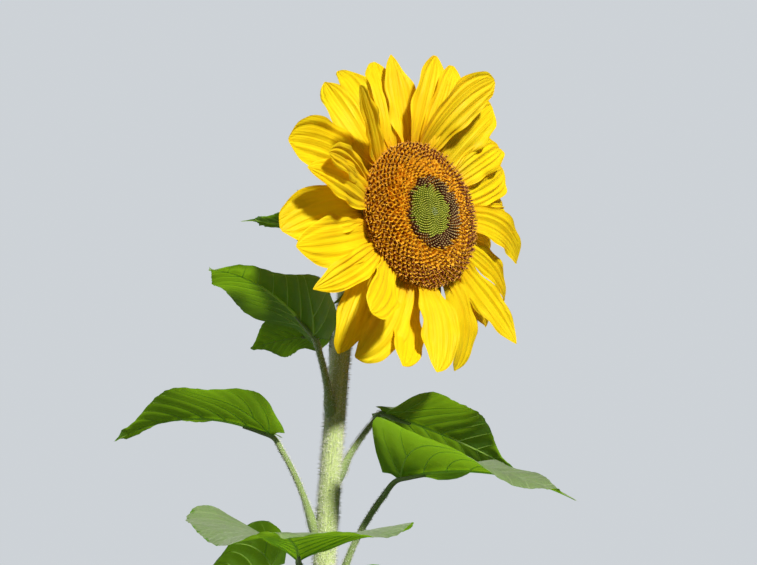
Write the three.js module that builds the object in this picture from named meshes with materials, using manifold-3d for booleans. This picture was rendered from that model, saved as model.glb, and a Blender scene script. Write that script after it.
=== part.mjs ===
// A sunflower plant rooted in the ground: one stout stem with a bowed neck, twenty-two stalked leaves
// and one nodding flower head. Millimetres, +Z up. The origin is the centre of the stem's flat cut at
// ground level. Azimuths are degrees from +X towards +Y, and rises are degrees above the horizontal.

import * as THREE from 'three';
import Module from 'manifold-3d';

const wasm = await Module();
wasm.setup();

// ---- driving dimensions ----

const GAP = 0.35; // clearance between two pieces that touch

const STEM_LINE = [[0, 0, 0], [-6, 4, 400], [-10, 4, 800], [-2, 1, 1050], [6, 0, 1200], [11.5, 0, 1297],
  [16.5, 0, 1371], [24, 0, 1442]];
const STEM_FOOT_RADIUS = 15;
const STEM_TOP_RADIUS = 8.7;
const ROOT_FLARE = 9; // extra radius at the ground
const ROOT_FLARE_HEIGHT = 38;
const NECK_END_RADIUS = 11;
const NECK_REACH = 34; // how far the neck runs on straight at each end before it bends
const NECK_LEAN = 4; // sideways lean of the stem as the neck starts
const NECK_RINGS = 6;
const STEM_RINGS = 21;
const RING_CROWDING = 1.15; // over 1 sets the stem's rings closer together near the ground
const STEM_SIDES = 12;

const HEAD_CENTRE = [94, -72, 1500]; // centre of the disc's widest circle
const HEAD_AZIMUTH = -48; // where the head faces
const HEAD_RISE = -5;
const DISC_RADIUS = 66.5;
const DISC_HEIGHT = 17;
const DISC_EDGE = 3; // height of the disc's rim
const DOME_POWER = 2.4; // how suddenly the dome falls away to the rim
const HEART_RADIUS = 28;
const HEART_FLOOR = 8; // the green heart stands in a hollow of this floor height
const HEART_RISE = 1; // its middle stands this much above the disc
const RECEPTACLE_DEPTH = 50;
const RECEPTACLE_BOWL = [[24, 4], [40, 11], [53, 20]]; // [radius, height above the back]
const SHOULDER_RADIUS = 60;
const SHOULDER_DEPTH = 2;
const RIM_INNER = 57; // the collar that carries the ray florets
const RIM_OUTER = 62;
const RIM_FRONT = -9;
const RIM_BACK = -22;
const HEAD_SIDES = 30;

const RAY_ROOT_RADIUS = 59.5;
const RAY_ROOT_PLACE = -10.5; // how far behind the disc's widest circle the front row is rooted
const RAY_ROW_STEP = 4.3; // each row of ray florets is rooted this much further back
const COLLAR_GAP = 0.6; // degrees
const RAY_THICKNESS = 2.6;
const RAY_STEPS = 7;
const RAY_CUP = 0.15;
const RAY_EDGE_CLEARANCE = 3; // the clearance that cuts a neighbour is this many times wider sideways
const COLLAR_STEP = 12; // degrees
const RAY_CLEARANCE = 0.7; // a floret is cut this clear of its neighbours on the next stretch of collar
const RAY_WIDTHS = [[0, 0.3], [0.12, 0.48], [0.28, 0.8], [0.45, 0.98], [0.6, 1], [0.74, 0.88],
  [0.86, 0.6], [0.95, 0.28], [1, 0.05]];

const BLADE_THICKNESS = 2.6;
const BLADE_STEPS = 8;
const BLADE_ARCH = 0.1;
const BLADE_WIDTHS = [[0, 0.3], [0.04, 0.55], [0.1, 0.78], [0.2, 0.96], [0.3, 1], [0.45, 0.9], [0.6, 0.71],
  [0.75, 0.45], [0.88, 0.2], [1, 0.03]];
const STALK_RADII = [3.6, 2.9, 2.6]; // at the stem, halfway and at the blade
const STALK_STEPS = 6;
const STALK_SIDES = 6;

// Ray florets by place on the head: [clock angle, length, width, tilt, curl, sweep, row].
// Clock angles run clockwise from the top; a tilt leans forward, and a curl adds to it along the floret.
const RAYS = {
  top: [[353, 110, 36, 33, -53, 14, 0], [0, 113, 31, 41, -30, 29, 0], [2, 112, 28, 44, -73, 12, 1],
    [354, 96, 22, 3, -28, 10, 2], [21, 107, 40, 37, -58, 15, 1]],
  upper_right: [[42, 105, 26, 26, -56, 8, 0], [59, 104, 29, 10, -34, -6, 0], [67, 104, 18, 14, -52, 2, 1],
    [77, 105, 33, 16, -48, 21, 0]],
  right: [[84, 104, 18, -3, -41, 1, 2], [99, 104, 22, 4, -29, 10, 1], [118, 105, 25, -5, 23, 13, 0]],
  lower_right: [[121, 101, 18, -1, -32, -7, 2], [131, 101, 20, 1, -41, -7, 1],
    [135, 99, 23, 17, -49, 23, 2]],
  bottom: [[169, 100, 35, 35, -31, 15, 0], [179, 103, 29, 3, 37, 18, 2], [192, 105, 39, 11, -6, 19, 1]],
  lower_left: [[212, 103, 26, 36, -6, 7, 0], [216, 104, 28, 7, -9, -14, 2], [227, 103, 22, 21, -27, 6, 0]],
  left: [[240, 103, 42, 14, -10, 7, 1], [261, 103, 40, 19, -32, -16, 2], [269, 102, 31, 31, -16, -2, 0]],
  upper_left: [[282, 102, 24, 40, -1, -14, 1], [292, 103, 39, 11, -6, -20, 2],
    [305, 104, 28, 12, -63, 22, 0], [306, 102, 21, 30, 7, -9, 0]],
  top_left: [[323, 116, 24, 12, -67, 15, 1], [333, 109, 24, 13, -53, 19, 1], [346, 98, 24, -2, -2, 0, 0]],
};

// Upper leaves from the top down. The stalk leaves the stem at a height and an azimuth and bends
// between two rises. The blade then has its own azimuth, rise, droop and swing along its length, a
// roll and twist about it, and a fold of each half: [left at base, at tip, right at base, at tip].
const UPPER_LEAVES = [
  { height: 1440, stalk: [110, 70, 80, 60], azimuth: 172, rise: 33, droop: 28, swing: 0, roll: -35,
    twist: 0, length: 105, width: 48, folds: [10, 10, 10, 10] },
  { height: 1338, stalk: [97, 98, 68, 56], azimuth: 172, rise: 0, droop: 26, swing: 0, roll: 0,
    twist: 0, length: 78, width: 78, folds: [6, 6, 6, 6] },
  { height: 1346, stalk: [239, 51, 71, 56], azimuth: 216, rise: 54, droop: 78, swing: 24, roll: 5,
    twist: 3, length: 146, width: 150, folds: [8, 2, 3, 7] },
  { height: 1285, stalk: [18, 61, 61, 49], azimuth: 14, rise: -14, droop: 13, swing: 3, roll: 12,
    twist: 21, length: 142, width: 140, folds: [10, 10, -8, 20] },
  { height: 1229, stalk: [189, 86, 74, 55], azimuth: 189, rise: 26, droop: 47, swing: -19, roll: -6,
    twist: -3, length: 154, width: 122, folds: [11, 18, 15, 18] },
  { height: 1163, stalk: [336, 117, 76, 43], azimuth: 325, rise: 10, droop: 41, swing: 33, roll: 5,
    twist: -34, length: 174, width: 172, folds: [14, 5, 37, -2] },
  { height: 1130, stalk: [260, 89, 48, 28], azimuth: 276, rise: 5, droop: 14, swing: -21, roll: 0,
    twist: -8, length: 153, width: 206, folds: [15, -5, 39, 2] },
  { height: 1100, stalk: [168, 92, 80, 66], azimuth: 212, rise: 14, droop: 46, swing: 0, roll: -8,
    twist: 0, length: 135, width: 122, folds: [10, 8, 10, 8] },
  { height: 1072, stalk: [302, 105, 66, 40], azimuth: 300, rise: 18, droop: 50, swing: 0, roll: 0,
    twist: 0, length: 175, width: 145, folds: [12, 12, 12, 12] },
];

// Lower leaves: a spiral down the stem, largest halfway, and hanging more towards the ground.
const LOWER_LEAVES = 13;
const LOWER_TOP = 1018;
const LOWER_STEP = 66;
const LOWER_FIRST_AZIMUTH = 78;
const SPIRAL_ANGLE = 137.5;

// ---- shapes ----

const radians = THREE.MathUtils.degToRad;

function direction(azimuth, rise) {
  const level = Math.cos(radians(rise));
  return new THREE.Vector3(
    level * Math.cos(radians(azimuth)),
    level * Math.sin(radians(azimuth)),
    Math.sin(radians(rise)),
  );
}

// Value at t of a line through [position, value] points.
function along(points, t) {
  let k = 1;
  while (k < points.length - 1 && points[k][0] < t) k += 1;
  const [from, low] = points[k - 1];
  const [to, high] = points[k];
  return low + (high - low) * THREE.MathUtils.clamp((t - from) / (to - from), 0, 1);
}

// A closed skin over rings of points that all have the same even count. Each end is capped by a strip
// from side to side, so that it follows a ring that is hollowed.
function loft(rings) {
  const count = rings[0].length;
  const points = rings.flat();
  const faces = [];
  for (let i = 0; i < rings.length - 1; i += 1) {
    for (let j = 0; j < count; j += 1) {
      const a = i * count + j;
      const b = i * count + ((j + 1) % count);
      faces.push([a, b, b + count], [a, b + count, a + count]);
    }
  }
  const last = (rings.length - 1) * count;
  const cap = [];
  for (let j = 0; j < count / 2; j += 1) {
    const opposite = count - j - 1;
    if (j > 0) cap.push([j, opposite + 1, opposite]);
    if (opposite > j + 1) cap.push([j, opposite, j + 1]);
  }
  faces.push(...cap);
  faces.push(...cap.map(([a, b, c]) => [last + a, last + c, last + b]));
  const cross = new THREE.Vector3();
  const sixVolumes = faces.reduce(
    (sum, [a, b, c]) => sum + points[a].dot(cross.crossVectors(points[b], points[c])),
    0,
  );
  const index = faces.flatMap(([a, b, c]) => (sixVolumes > 0 ? [a, b, c] : [a, c, b]));
  const geometry = new THREE.BufferGeometry();
  geometry.setAttribute('position', new THREE.Float32BufferAttribute(points.flatMap((p) => [...p]), 3));
  geometry.setIndex(index);
  return geometry;
}

// A round limb along a line of points, with one radius for each. Its first corner lies towards
// firstSide. Its end cuts face along the line, unless they are given a direction of their own.
function limb(line, radii, sides, firstSide, startFacing, endFacing) {
  let across = firstSide;
  const rings = line.map((centre, i) => {
    const ahead = line[Math.min(i + 1, line.length - 1)];
    const behind = line[Math.max(i - 1, 0)];
    const tangent = ahead.clone().sub(behind).normalize();
    if (i === 0 && startFacing) tangent.copy(startFacing);
    if (i === line.length - 1 && endFacing) tangent.copy(endFacing);
    across = across.clone().addScaledVector(tangent, -across.dot(tangent)).normalize();
    const up = tangent.clone().cross(across);
    return Array.from({ length: sides }, (_, j) => {
      const turn = (2 * Math.PI * j) / sides;
      return centre.clone()
        .addScaledVector(across, radii[i] * Math.cos(turn))
        .addScaledVector(up, radii[i] * Math.sin(turn));
    });
  });
  return loft(rings);
}

// A ring of points round a lens section: places across run from -1 to 1, and sheet(v) gives the
// mid-surface point and the normal there.
function lens(places, sheet, thickness) {
  const inner = places.slice(1, -1);
  const raise = (v, side) => {
    const { point, normal } = sheet(v);
    return point.addScaledVector(normal, (side * thickness * (1 - v * v)) / 2);
  };
  return [
    sheet(-1).point,
    ...inner.map((v) => raise(v, 1)),
    sheet(1).point,
    ...inner.reverse().map((v) => raise(v, -1)),
  ];
}

// ---- stem ----

const headFacing = direction(HEAD_AZIMUTH, HEAD_RISE);
const headCentre = new THREE.Vector3(...HEAD_CENTRE);
const stemPoints = STEM_LINE.map((p) => new THREE.Vector3(...p));
const stemCurve = new THREE.CatmullRomCurve3(stemPoints);
const stemTop = stemPoints[stemPoints.length - 1];
const stemHeight = stemTop.z;
const neckEnd = headCentre.clone().addScaledVector(headFacing, -RECEPTACLE_DEPTH - GAP);
const neckCurve = new THREE.CubicBezierCurve3(
  stemTop,
  stemTop.clone().add(new THREE.Vector3(NECK_LEAN, 0, NECK_REACH)),
  neckEnd.clone().addScaledVector(headFacing, -NECK_REACH),
  neckEnd,
);

function stemRadius(height) {
  const taper = THREE.MathUtils.lerp(STEM_FOOT_RADIUS, STEM_TOP_RADIUS, height / stemHeight);
  return taper + ROOT_FLARE * Math.exp(-height / ROOT_FLARE_HEIGHT);
}

// Distance from the stem's centre to its faceted side at a height.
function stemSurface(height, azimuth) {
  const facet = 360 / STEM_SIDES;
  const offMiddle = THREE.MathUtils.euclideanModulo(azimuth, facet) - facet / 2;
  return (stemRadius(height) * Math.cos(radians(facet / 2))) / Math.cos(radians(offMiddle));
}

// Centre of the stem at a height.
function stemCentre(height) {
  const k = Math.max(1, stemPoints.findIndex((p) => p.z >= height));
  const share = (height - stemPoints[k - 1].z) / (stemPoints[k].z - stemPoints[k - 1].z);
  return stemCurve.getPoint((k - 1 + share) / (stemPoints.length - 1));
}

function stem() {
  const line = [];
  const radii = [];
  for (let i = 0; i < STEM_RINGS; i += 1) {
    const height = stemHeight * (i / STEM_RINGS) ** RING_CROWDING;
    const centre = stemCentre(height);
    line.push(centre);
    radii.push(stemRadius(centre.z));
  }
  for (let i = 0; i <= NECK_RINGS; i += 1) {
    const t = i / NECK_RINGS;
    line.push(neckCurve.getPoint(t));
    radii.push(THREE.MathUtils.lerp(STEM_TOP_RADIUS, NECK_END_RADIUS, t * t));
  }
  return limb(line, radii, STEM_SIDES, direction(0, 0), new THREE.Vector3(0, 0, 1), headFacing);
}

// ---- leaves ----

function stalkLine({ height, stalk }) {
  const [azimuth, length, riseAtStem, riseAtBlade] = stalk;
  const clear = stemSurface(height, azimuth) + STALK_RADII[0] * Math.sin(radians(riseAtStem)) + GAP;
  const line = [stemCentre(height).addScaledVector(direction(azimuth, 0), clear)];
  for (let i = 0; i < STALK_STEPS; i += 1) {
    const rise = THREE.MathUtils.lerp(riseAtStem, riseAtBlade, (i + 0.5) / STALK_STEPS);
    line.push(line[i].clone().addScaledVector(direction(azimuth, rise), length / STALK_STEPS));
  }
  return line;
}

function stalk(leaf) {
  const [foot, middle, top] = STALK_RADII;
  const line = stalkLine(leaf);
  const radii = line.map((_, i) => along([[0, foot], [0.5, middle], [1, top]], i / STALK_STEPS));
  return limb(line, radii, STALK_SIDES, direction(leaf.stalk[0], 0));
}

// The frame of a blade at s along it: the way ahead, the way to its right and its upper normal.
function bladeFrame(leaf, s) {
  const azimuth = leaf.azimuth + leaf.swing * s;
  const ahead = direction(azimuth, leaf.rise - leaf.droop * s);
  const level = direction(azimuth - 90, 0);
  const upright = level.clone().cross(ahead);
  const roll = radians(leaf.roll + leaf.twist * s);
  const side = level.multiplyScalar(Math.cos(roll)).addScaledVector(upright, Math.sin(roll));
  return { ahead, side, normal: side.clone().cross(ahead) };
}

// Where the middle of a blade starts, so that its back edge just clears the end of the stalk.
function bladeStart(leaf) {
  const line = stalkLine(leaf);
  const end = line[STALK_STEPS];
  const stalkAhead = end.clone().sub(line[STALK_STEPS - 1]).normalize();
  const { side, normal } = bladeFrame(leaf, 0);
  const depth = (BLADE_THICKNESS / 2) * Math.abs(normal.dot(stalkAhead));
  const dip = STALK_RADII[2] * Math.abs(side.dot(stalkAhead));
  return end.clone().addScaledVector(stalkAhead, GAP + depth + dip);
}

function blade(leaf) {
  const [leftBase, leftTip, rightBase, rightTip] = leaf.folds;
  const centre = bladeStart(leaf);
  let before = null;
  const rings = [];
  for (let i = 0; i <= BLADE_STEPS; i += 1) {
    const s = i / BLADE_STEPS;
    const { ahead, side, normal } = bladeFrame(leaf, s);
    if (before) centre.addScaledVector(before.add(ahead), leaf.length / BLADE_STEPS / 2);
    before = ahead.clone();
    const half = (leaf.width / 2) * along(BLADE_WIDTHS, s);
    const foldLeft = radians(THREE.MathUtils.lerp(leftBase, leftTip, s));
    const foldRight = radians(THREE.MathUtils.lerp(rightBase, rightTip, s));
    const here = centre.clone();
    const sheet = (v) => {
      const fold = v < 0 ? foldLeft : foldRight;
      const lift = half * (Math.abs(v) * Math.sin(fold) - BLADE_ARCH * v * v);
      const point = here.clone()
        .addScaledVector(side, v * half * Math.cos(fold))
        .addScaledVector(normal, lift);
      return { point, normal };
    };
    rings.push(lens([-1, -0.5, 0, 0.5, 1], sheet, BLADE_THICKNESS));
  }
  return loft(rings);
}

function lowerLeaf(i) {
  const down = i / (LOWER_LEAVES - 1);
  const bulge = Math.sin(Math.PI * (0.15 + 0.75 * down));
  const vary = (k) => Math.sin(2.4 * i * k + k); // repeatable unevenness
  const azimuth = LOWER_FIRST_AZIMUTH + SPIRAL_ANGLE * i;
  const length = 165 + 45 * bulge + 8 * vary(2);
  return {
    height: LOWER_TOP - LOWER_STEP * i,
    stalk: [azimuth, 85 + 35 * bulge, 62 - 14 * down, 38 - 22 * down],
    azimuth: azimuth + 8 * vary(3),
    rise: 14 - 26 * down + 5 * vary(1),
    droop: 38 + 14 * down,
    swing: 7 * vary(4),
    roll: 7 * vary(5),
    twist: 6 * vary(1),
    length,
    width: 0.84 * length,
    folds: [12, 6, 12, 6],
  };
}

// ---- flower head, in its own frame: x to its right, y up its face, z the way it faces ----

function lathe(profile) {
  const geometry = new THREE.LatheGeometry(profile.map(([r, z]) => new THREE.Vector2(r, z)), HEAD_SIDES);
  return geometry.rotateX(Math.PI / 2);
}

function dome(r) {
  return DISC_HEIGHT - (DISC_HEIGHT - DISC_EDGE) * (r / DISC_RADIUS) ** DOME_POWER;
}

function disc() {
  const hollow = HEART_RADIUS + GAP;
  const underside = RIM_FRONT + GAP;
  const crown = [0.92, 0.75, 0.57].map((share) => share * DISC_RADIUS);
  return lathe([[0, underside], [RIM_INNER - 1, underside], [DISC_RADIUS - 0.5, 0], [DISC_RADIUS, DISC_EDGE],
    ...[...crown, hollow].map((r) => [r, dome(r)]), [hollow, HEART_FLOOR], [0, HEART_FLOOR]]);
}

function heart() {
  const floor = HEART_FLOOR + GAP;
  const top = DISC_HEIGHT + HEART_RISE;
  return lathe([[0, floor], [HEART_RADIUS, floor], [HEART_RADIUS, top - 2.5 * HEART_RISE],
    [0.6 * HEART_RADIUS, top - 0.7 * HEART_RISE], [0, top]]);
}

function receptacle() {
  const inner = RIM_INNER - 2 * GAP;
  const back = -RECEPTACLE_DEPTH;
  const shoulder = RIM_BACK - GAP;
  const bowl = RECEPTACLE_BOWL.map(([r, up]) => [r, back + up]);
  return lathe([[0, back], [NECK_END_RADIUS, back], ...bowl, [SHOULDER_RADIUS, shoulder - SHOULDER_DEPTH],
    [SHOULDER_RADIUS, shoulder], [inner, shoulder], [inner, RIM_FRONT], [0, RIM_FRONT]]);
}

// One ray floret; grown makes it larger all round, for cutting its neighbours clear of it.
function ray([clock, length, width, tilt, curl, sweep, row], grown) {
  const out = new THREE.Vector3(Math.sin(radians(clock)), Math.cos(radians(clock)), 0);
  const round = new THREE.Vector3(out.y, -out.x, 0);
  const facing = new THREE.Vector3(0, 0, 1);
  const centre = out.clone().multiplyScalar(RAY_ROOT_RADIUS);
  centre.z = RAY_ROOT_PLACE - RAY_ROW_STEP * row;
  let before = null;
  const rings = [];
  for (let i = 0; i <= RAY_STEPS; i += 1) {
    const s = i / RAY_STEPS;
    const lean = radians(tilt + curl * s);
    const bend = radians(2 * sweep * s);
    const ahead = out.clone().multiplyScalar(Math.cos(bend) * Math.cos(lean))
      .addScaledVector(facing, Math.cos(bend) * Math.sin(lean))
      .addScaledVector(round, Math.sin(bend));
    if (before) centre.addScaledVector(before.clone().add(ahead), length / RAY_STEPS / 2);
    before = ahead;
    const side = round.clone().addScaledVector(ahead, -round.dot(ahead)).normalize();
    const normal = ahead.clone().cross(side).multiplyScalar(-1);
    const half = (width / 2) * along(RAY_WIDTHS, s) + RAY_EDGE_CLEARANCE * grown;
    const here = centre.clone();
    if (i === 0) here.addScaledVector(ahead, -grown);
    if (i === RAY_STEPS) here.addScaledVector(ahead, grown);
    const sheet = (v) => ({
      point: here.clone().addScaledVector(side, v * half)
        .addScaledVector(normal, RAY_CUP * half * v * v),
      normal,
    });
    rings.push(lens([-1, 0, 1], sheet, RAY_THICKNESS + 2 * grown));
  }
  return loft(rings);
}

// A stretch of the collar that carries the ray florets, between two clock angles.
function collar(from, to, grown) {
  const steps = Math.ceil((to - from) / COLLAR_STEP);
  const rings = [];
  for (let i = 0; i <= steps; i += 1) {
    const clock = radians(THREE.MathUtils.lerp(from, to, i / steps));
    const out = new THREE.Vector3(Math.sin(clock), Math.cos(clock), 0);
    const inner = RIM_INNER - grown;
    const outer = RIM_OUTER + grown;
    const back = RIM_BACK - grown;
    const front = RIM_FRONT + grown;
    rings.push([[inner, back], [outer, back], [outer, front], [inner, front]]
      .map(([r, z]) => out.clone().multiplyScalar(r).setZ(z)));
  }
  return loft(rings);
}

function toSolid(geometry) {
  return new wasm.Manifold(new wasm.Mesh({
    numProp: 3,
    vertProperties: new Float32Array(geometry.getAttribute('position').array),
    triVerts: new Uint32Array(geometry.getIndex().array),
  }));
}

function toGeometry(solid) {
  const { vertProperties, triVerts } = solid.getMesh();
  const geometry = new THREE.BufferGeometry();
  geometry.setAttribute('position', new THREE.BufferAttribute(new Float32Array(vertProperties), 3));
  geometry.setIndex(new THREE.BufferAttribute(new Uint32Array(triVerts), 1));
  return geometry;
}

// The ray florets of each place are joined to their stretch of collar, and kept clear of the places
// joined before.
function rayMasses() {
  const masses = [];
  const places = Object.entries(RAYS);
  const middle = places.map(([place, rays]) => {
    const clocks = rays.map(([clock]) => (place === 'top' && clock > 180 ? clock - 360 : clock));
    return clocks.reduce((sum, clock) => sum + clock, 0) / clocks.length;
  });
  let taken = null;
  places.forEach(([place, rays], i) => {
    const before = i > 0 ? middle[i - 1] : middle[places.length - 1] - 360;
    const after = i < places.length - 1 ? middle[i + 1] : middle[0] + 360;
    const from = (before + middle[i]) / 2 + COLLAR_GAP;
    const to = (after + middle[i]) / 2 - COLLAR_GAP;
    let mass = rays.reduce((sum, r) => sum.add(toSolid(ray(r, 0))), toSolid(collar(from, to, 0)));
    if (taken) mass = mass.subtract(taken);
    const [body] = mass.decompose().sort((a, b) => b.volume() - a.volume());
    masses.push([`rays_${place}`, toGeometry(body)]);
    const reserved = rays.reduce(
      (sum, r) => sum.add(toSolid(ray(r, RAY_CLEARANCE))),
      toSolid(collar(from - RAY_CLEARANCE, to + RAY_CLEARANCE, RAY_CLEARANCE)),
    );
    taken = taken ? taken.add(reserved) : reserved;
  });
  return masses;
}

// ---- the plant ----

const finish = (color, roughness) => new THREE.MeshStandardMaterial({ color, roughness, metalness: 0 });
const stemGreen = finish(0x9fb565, 0.7);
const leafGreen = finish(0x3f6a1d, 0.55);
const rayYellow = finish(0xf2cf0c, 0.6);
const discBrown = finish(0x6b3c12, 0.85);
const heartGreen = finish(0x74752a, 0.8);
const bractGreen = finish(0x6f8f3c, 0.7);

function piece(parent, name, geometry, material) {
  const mesh = new THREE.Mesh(geometry, material);
  mesh.name = name;
  parent.add(mesh);
}

const plant = new THREE.Group();
piece(plant, 'stem', stem(), stemGreen);

const lowerLeaves = Array.from({ length: LOWER_LEAVES }, (_, i) => lowerLeaf(i));
[...UPPER_LEAVES, ...lowerLeaves].forEach((leaf, i) => {
  const number = String(i + 1).padStart(2, '0');
  piece(plant, `stalk_${number}`, stalk(leaf), stemGreen);
  piece(plant, `blade_${number}`, blade(leaf), leafGreen);
});

const head = new THREE.Group();
const headRight = new THREE.Vector3(0, 0, 1).cross(headFacing).normalize();
const headUp = headFacing.clone().cross(headRight);
head.quaternion.setFromRotationMatrix(new THREE.Matrix4().makeBasis(headRight, headUp, headFacing));
head.position.copy(headCentre);
piece(head, 'disc', disc(), discBrown);
piece(head, 'disc_heart', heart(), heartGreen);
piece(head, 'receptacle', receptacle(), bractGreen);
rayMasses().forEach(([name, geometry]) => piece(head, name, geometry, rayYellow));
plant.add(head);

export default plant;
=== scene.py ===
# A sunflower plant rooted in the ground: stem, leaves on stalks and one nodding flower head.
# Metres, +Z up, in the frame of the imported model.
import itertools
import math

import bpy
import numpy as np
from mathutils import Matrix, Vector


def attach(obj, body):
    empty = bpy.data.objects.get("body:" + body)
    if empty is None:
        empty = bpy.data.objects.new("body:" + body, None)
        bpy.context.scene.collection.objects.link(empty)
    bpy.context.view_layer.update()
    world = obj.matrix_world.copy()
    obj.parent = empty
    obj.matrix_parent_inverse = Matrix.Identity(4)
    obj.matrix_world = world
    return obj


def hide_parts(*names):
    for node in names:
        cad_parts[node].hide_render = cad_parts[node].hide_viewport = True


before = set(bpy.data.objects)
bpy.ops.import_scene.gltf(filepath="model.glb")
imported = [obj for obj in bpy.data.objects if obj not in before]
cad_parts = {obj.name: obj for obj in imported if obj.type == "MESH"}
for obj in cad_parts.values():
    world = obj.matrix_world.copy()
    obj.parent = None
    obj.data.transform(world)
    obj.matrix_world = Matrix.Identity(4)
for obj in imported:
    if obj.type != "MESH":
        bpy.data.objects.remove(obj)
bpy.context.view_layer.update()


# ---- Stem ----
# One stout, pithy stem that flares at the ground, leans a little and bows at the neck to carry the
# head. Its skin is pale green, grooved lengthwise and set all over with stiff white hairs.

STEM_LINE = np.array([
    (0, 0, 0), (-0.006, 0.004, 0.4), (-0.01, 0.004, 0.8), (-0.002, 0.001, 1.05),
    (0.006, 0, 1.2), (0.0115, 0, 1.297), (0.0165, 0, 1.371), (0.024, 0, 1.442),
])
STEM_HEIGHT = STEM_LINE[-1, 2]
STEM_FOOT_RADIUS = 0.015
STEM_TOP_RADIUS = 0.0087
ROOT_FLARE = 0.009
ROOT_FLARE_HEIGHT = 0.038
NECK_END_RADIUS = 0.011
NECK_REACH = 0.034
NECK_LEAN = 0.004
NECK_ROWS = 40
STEM_STEP = 0.0035
STEM_SIDES = 60
STEM_RIBS = 15
RIB_DEPTH = 0.028  # share of the radius, as the next is
LUMP_HEIGHT = 0.012
UNEVEN_ROUGHNESS = 0.09  # of every tissue, up and down
ROUGHNESS_PATCHES = 55  # to a metre
HEAD_CENTRE = np.array([0.094, -0.072, 1.5])  # centre of the disc's widest circle
HEAD_AZIMUTH = -48
HEAD_RISE = -5
RECEPTACLE_DEPTH = 0.05


def unit(v):
    """v at a length of 1, along its last axis."""
    return v / np.linalg.norm(v, axis=-1, keepdims=True)


def direction(azimuth, rise):
    """The way that points azimuth degrees from +X towards +Y, and rise degrees up."""
    azimuth, rise = np.broadcast_arrays(np.radians(azimuth), np.radians(rise))
    level = np.cos(rise)
    return np.stack([level * np.cos(azimuth), level * np.sin(azimuth), np.sin(rise)], axis=-1)


def smooth(places, values, at):
    """Values at some places of the smooth line through (places, values)."""
    places, values, at = (np.asarray(a, float) for a in (places, values, at))
    slopes = np.gradient(values, places, axis=0)
    k = np.clip(np.searchsorted(places, at, side="right") - 1, 0, len(places) - 2)
    step = places[k + 1] - places[k]
    t = np.clip((at - places[k]) / step, 0, 1)
    if values.ndim > 1:
        step, t = step[..., None], t[..., None]
    return (
        (2 * t**3 - 3 * t**2 + 1) * values[k]
        + (t**3 - 2 * t**2 + t) * step * slopes[k]
        + (3 * t**2 - 2 * t**3) * values[k + 1]
        + (t**3 - t**2) * step * slopes[k + 1]
    )


def even_turns(count):
    """Turns at even steps once round, from 0."""
    return np.linspace(0, 2 * np.pi, count, endpoint=False)


def summed(steps):
    """What steps taken one after another have reached, from nothing on."""
    return np.concatenate([np.zeros_like(steps[:1]), np.cumsum(steps, axis=0)])


def run_along(path):
    """The distance run along a path at each of its points."""
    return summed(np.linalg.norm(np.diff(path, axis=0), axis=1))


def frames_along(path, first_side):
    """Ways ahead, across and up at each point of a path, turning with it but not about it."""
    ahead = unit(np.gradient(path, axis=0))
    across = np.empty_like(path)
    side = np.asarray(first_side, float)
    for i, way in enumerate(ahead):
        side = unit(side - way * (side @ way))
        across[i] = side
    return ahead, across, np.cross(ahead, across)


def rings(path, first_side, radii, turns):
    """Rings of points round a path, one after another. radii has a row for each ring and a column
    for each turn."""
    _, across, up = frames_along(path, first_side)
    round_it = across[:, None] * np.cos(turns)[:, None] + up[:, None] * np.sin(turns)[:, None]
    return (path[:, None] + radii[..., None] * round_it).reshape(-1, 3)


def grid_faces(rows, columns, around=False):
    """Faces between rows of points, facing column way x row way. around joins the rows' ends."""
    i = np.arange(rows - 1)[:, None]
    j = np.arange(columns if around else columns - 1)[None]
    a = i * columns + j
    b = i * columns + (j + 1) % columns
    return np.stack([a, b, b + columns, a + columns], axis=-1).reshape(-1, 4)


def limb_faces(rows, columns):
    """Faces between rings of points, and one over the last ring."""
    return [grid_faces(rows, columns, around=True), (rows - 1) * columns + np.arange(columns)[None]]


def rows_of_three(*columns):
    """Rows of three values from three arrays or numbers that broadcast together."""
    return np.stack(np.broadcast_arrays(*columns), axis=-1).reshape(-1, 3)


def turned(radius, turns, height):
    """Rows of points at a radius and a turn about the upright axis, and at a height."""
    return rows_of_three(radius * np.cos(turns), radius * np.sin(turns), height)


def make_piece(name, points, faces, materials, replaced=(), kinds=None, facts=None):
    """Adds a piece from an array of points and a list of face arrays, one for each corner count.
    kinds gives each face's material, and facts are values kept with each point by name."""
    mesh = bpy.data.meshes.new(name)
    corners = np.concatenate([f.ravel() for f in faces])
    sizes = np.concatenate([np.full(len(f), f.shape[1]) for f in faces])
    mesh.vertices.add(len(points))
    mesh.vertices.foreach_set("co", points.astype(np.float32).ravel())
    mesh.loops.add(len(corners))
    mesh.loops.foreach_set("vertex_index", corners.astype(np.int32))
    mesh.polygons.add(len(sizes))
    mesh.polygons.foreach_set("loop_start", (np.cumsum(sizes) - sizes).astype(np.int32))
    for material in materials:
        mesh.materials.append(material)
    if kinds is not None:
        mesh.polygons.foreach_set("material_index", kinds.astype(np.int32))
    for fact, values in (facts or {}).items():
        form, field = ("FLOAT_VECTOR", "vector") if values.ndim > 1 else ("FLOAT", "value")
        kept = mesh.attributes.new(fact, form, "POINT")
        kept.data.foreach_set(field, values.astype(np.float32).ravel())
    mesh.update(calc_edges=True)
    mesh.validate()
    mesh.shade_smooth()
    made = bpy.data.objects.new(name, mesh)
    bpy.context.scene.collection.objects.link(made)
    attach(made, "root")
    if replaced:
        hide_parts(*replaced)
    return made


def new_group(name, inputs, outputs):
    """An empty node group, with its input and output nodes. Inputs are (name, kind, value)."""
    group = bpy.data.node_groups.new(name, "ShaderNodeTree")
    for label, kind, value in inputs:
        socket = group.interface.new_socket(label, in_out="INPUT", socket_type=kind)
        socket.default_value = value
    for label, kind in outputs:
        group.interface.new_socket(label, in_out="OUTPUT", socket_type=kind)
    return group, group.nodes.new("NodeGroupInput"), group.nodes.new("NodeGroupOutput")


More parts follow.
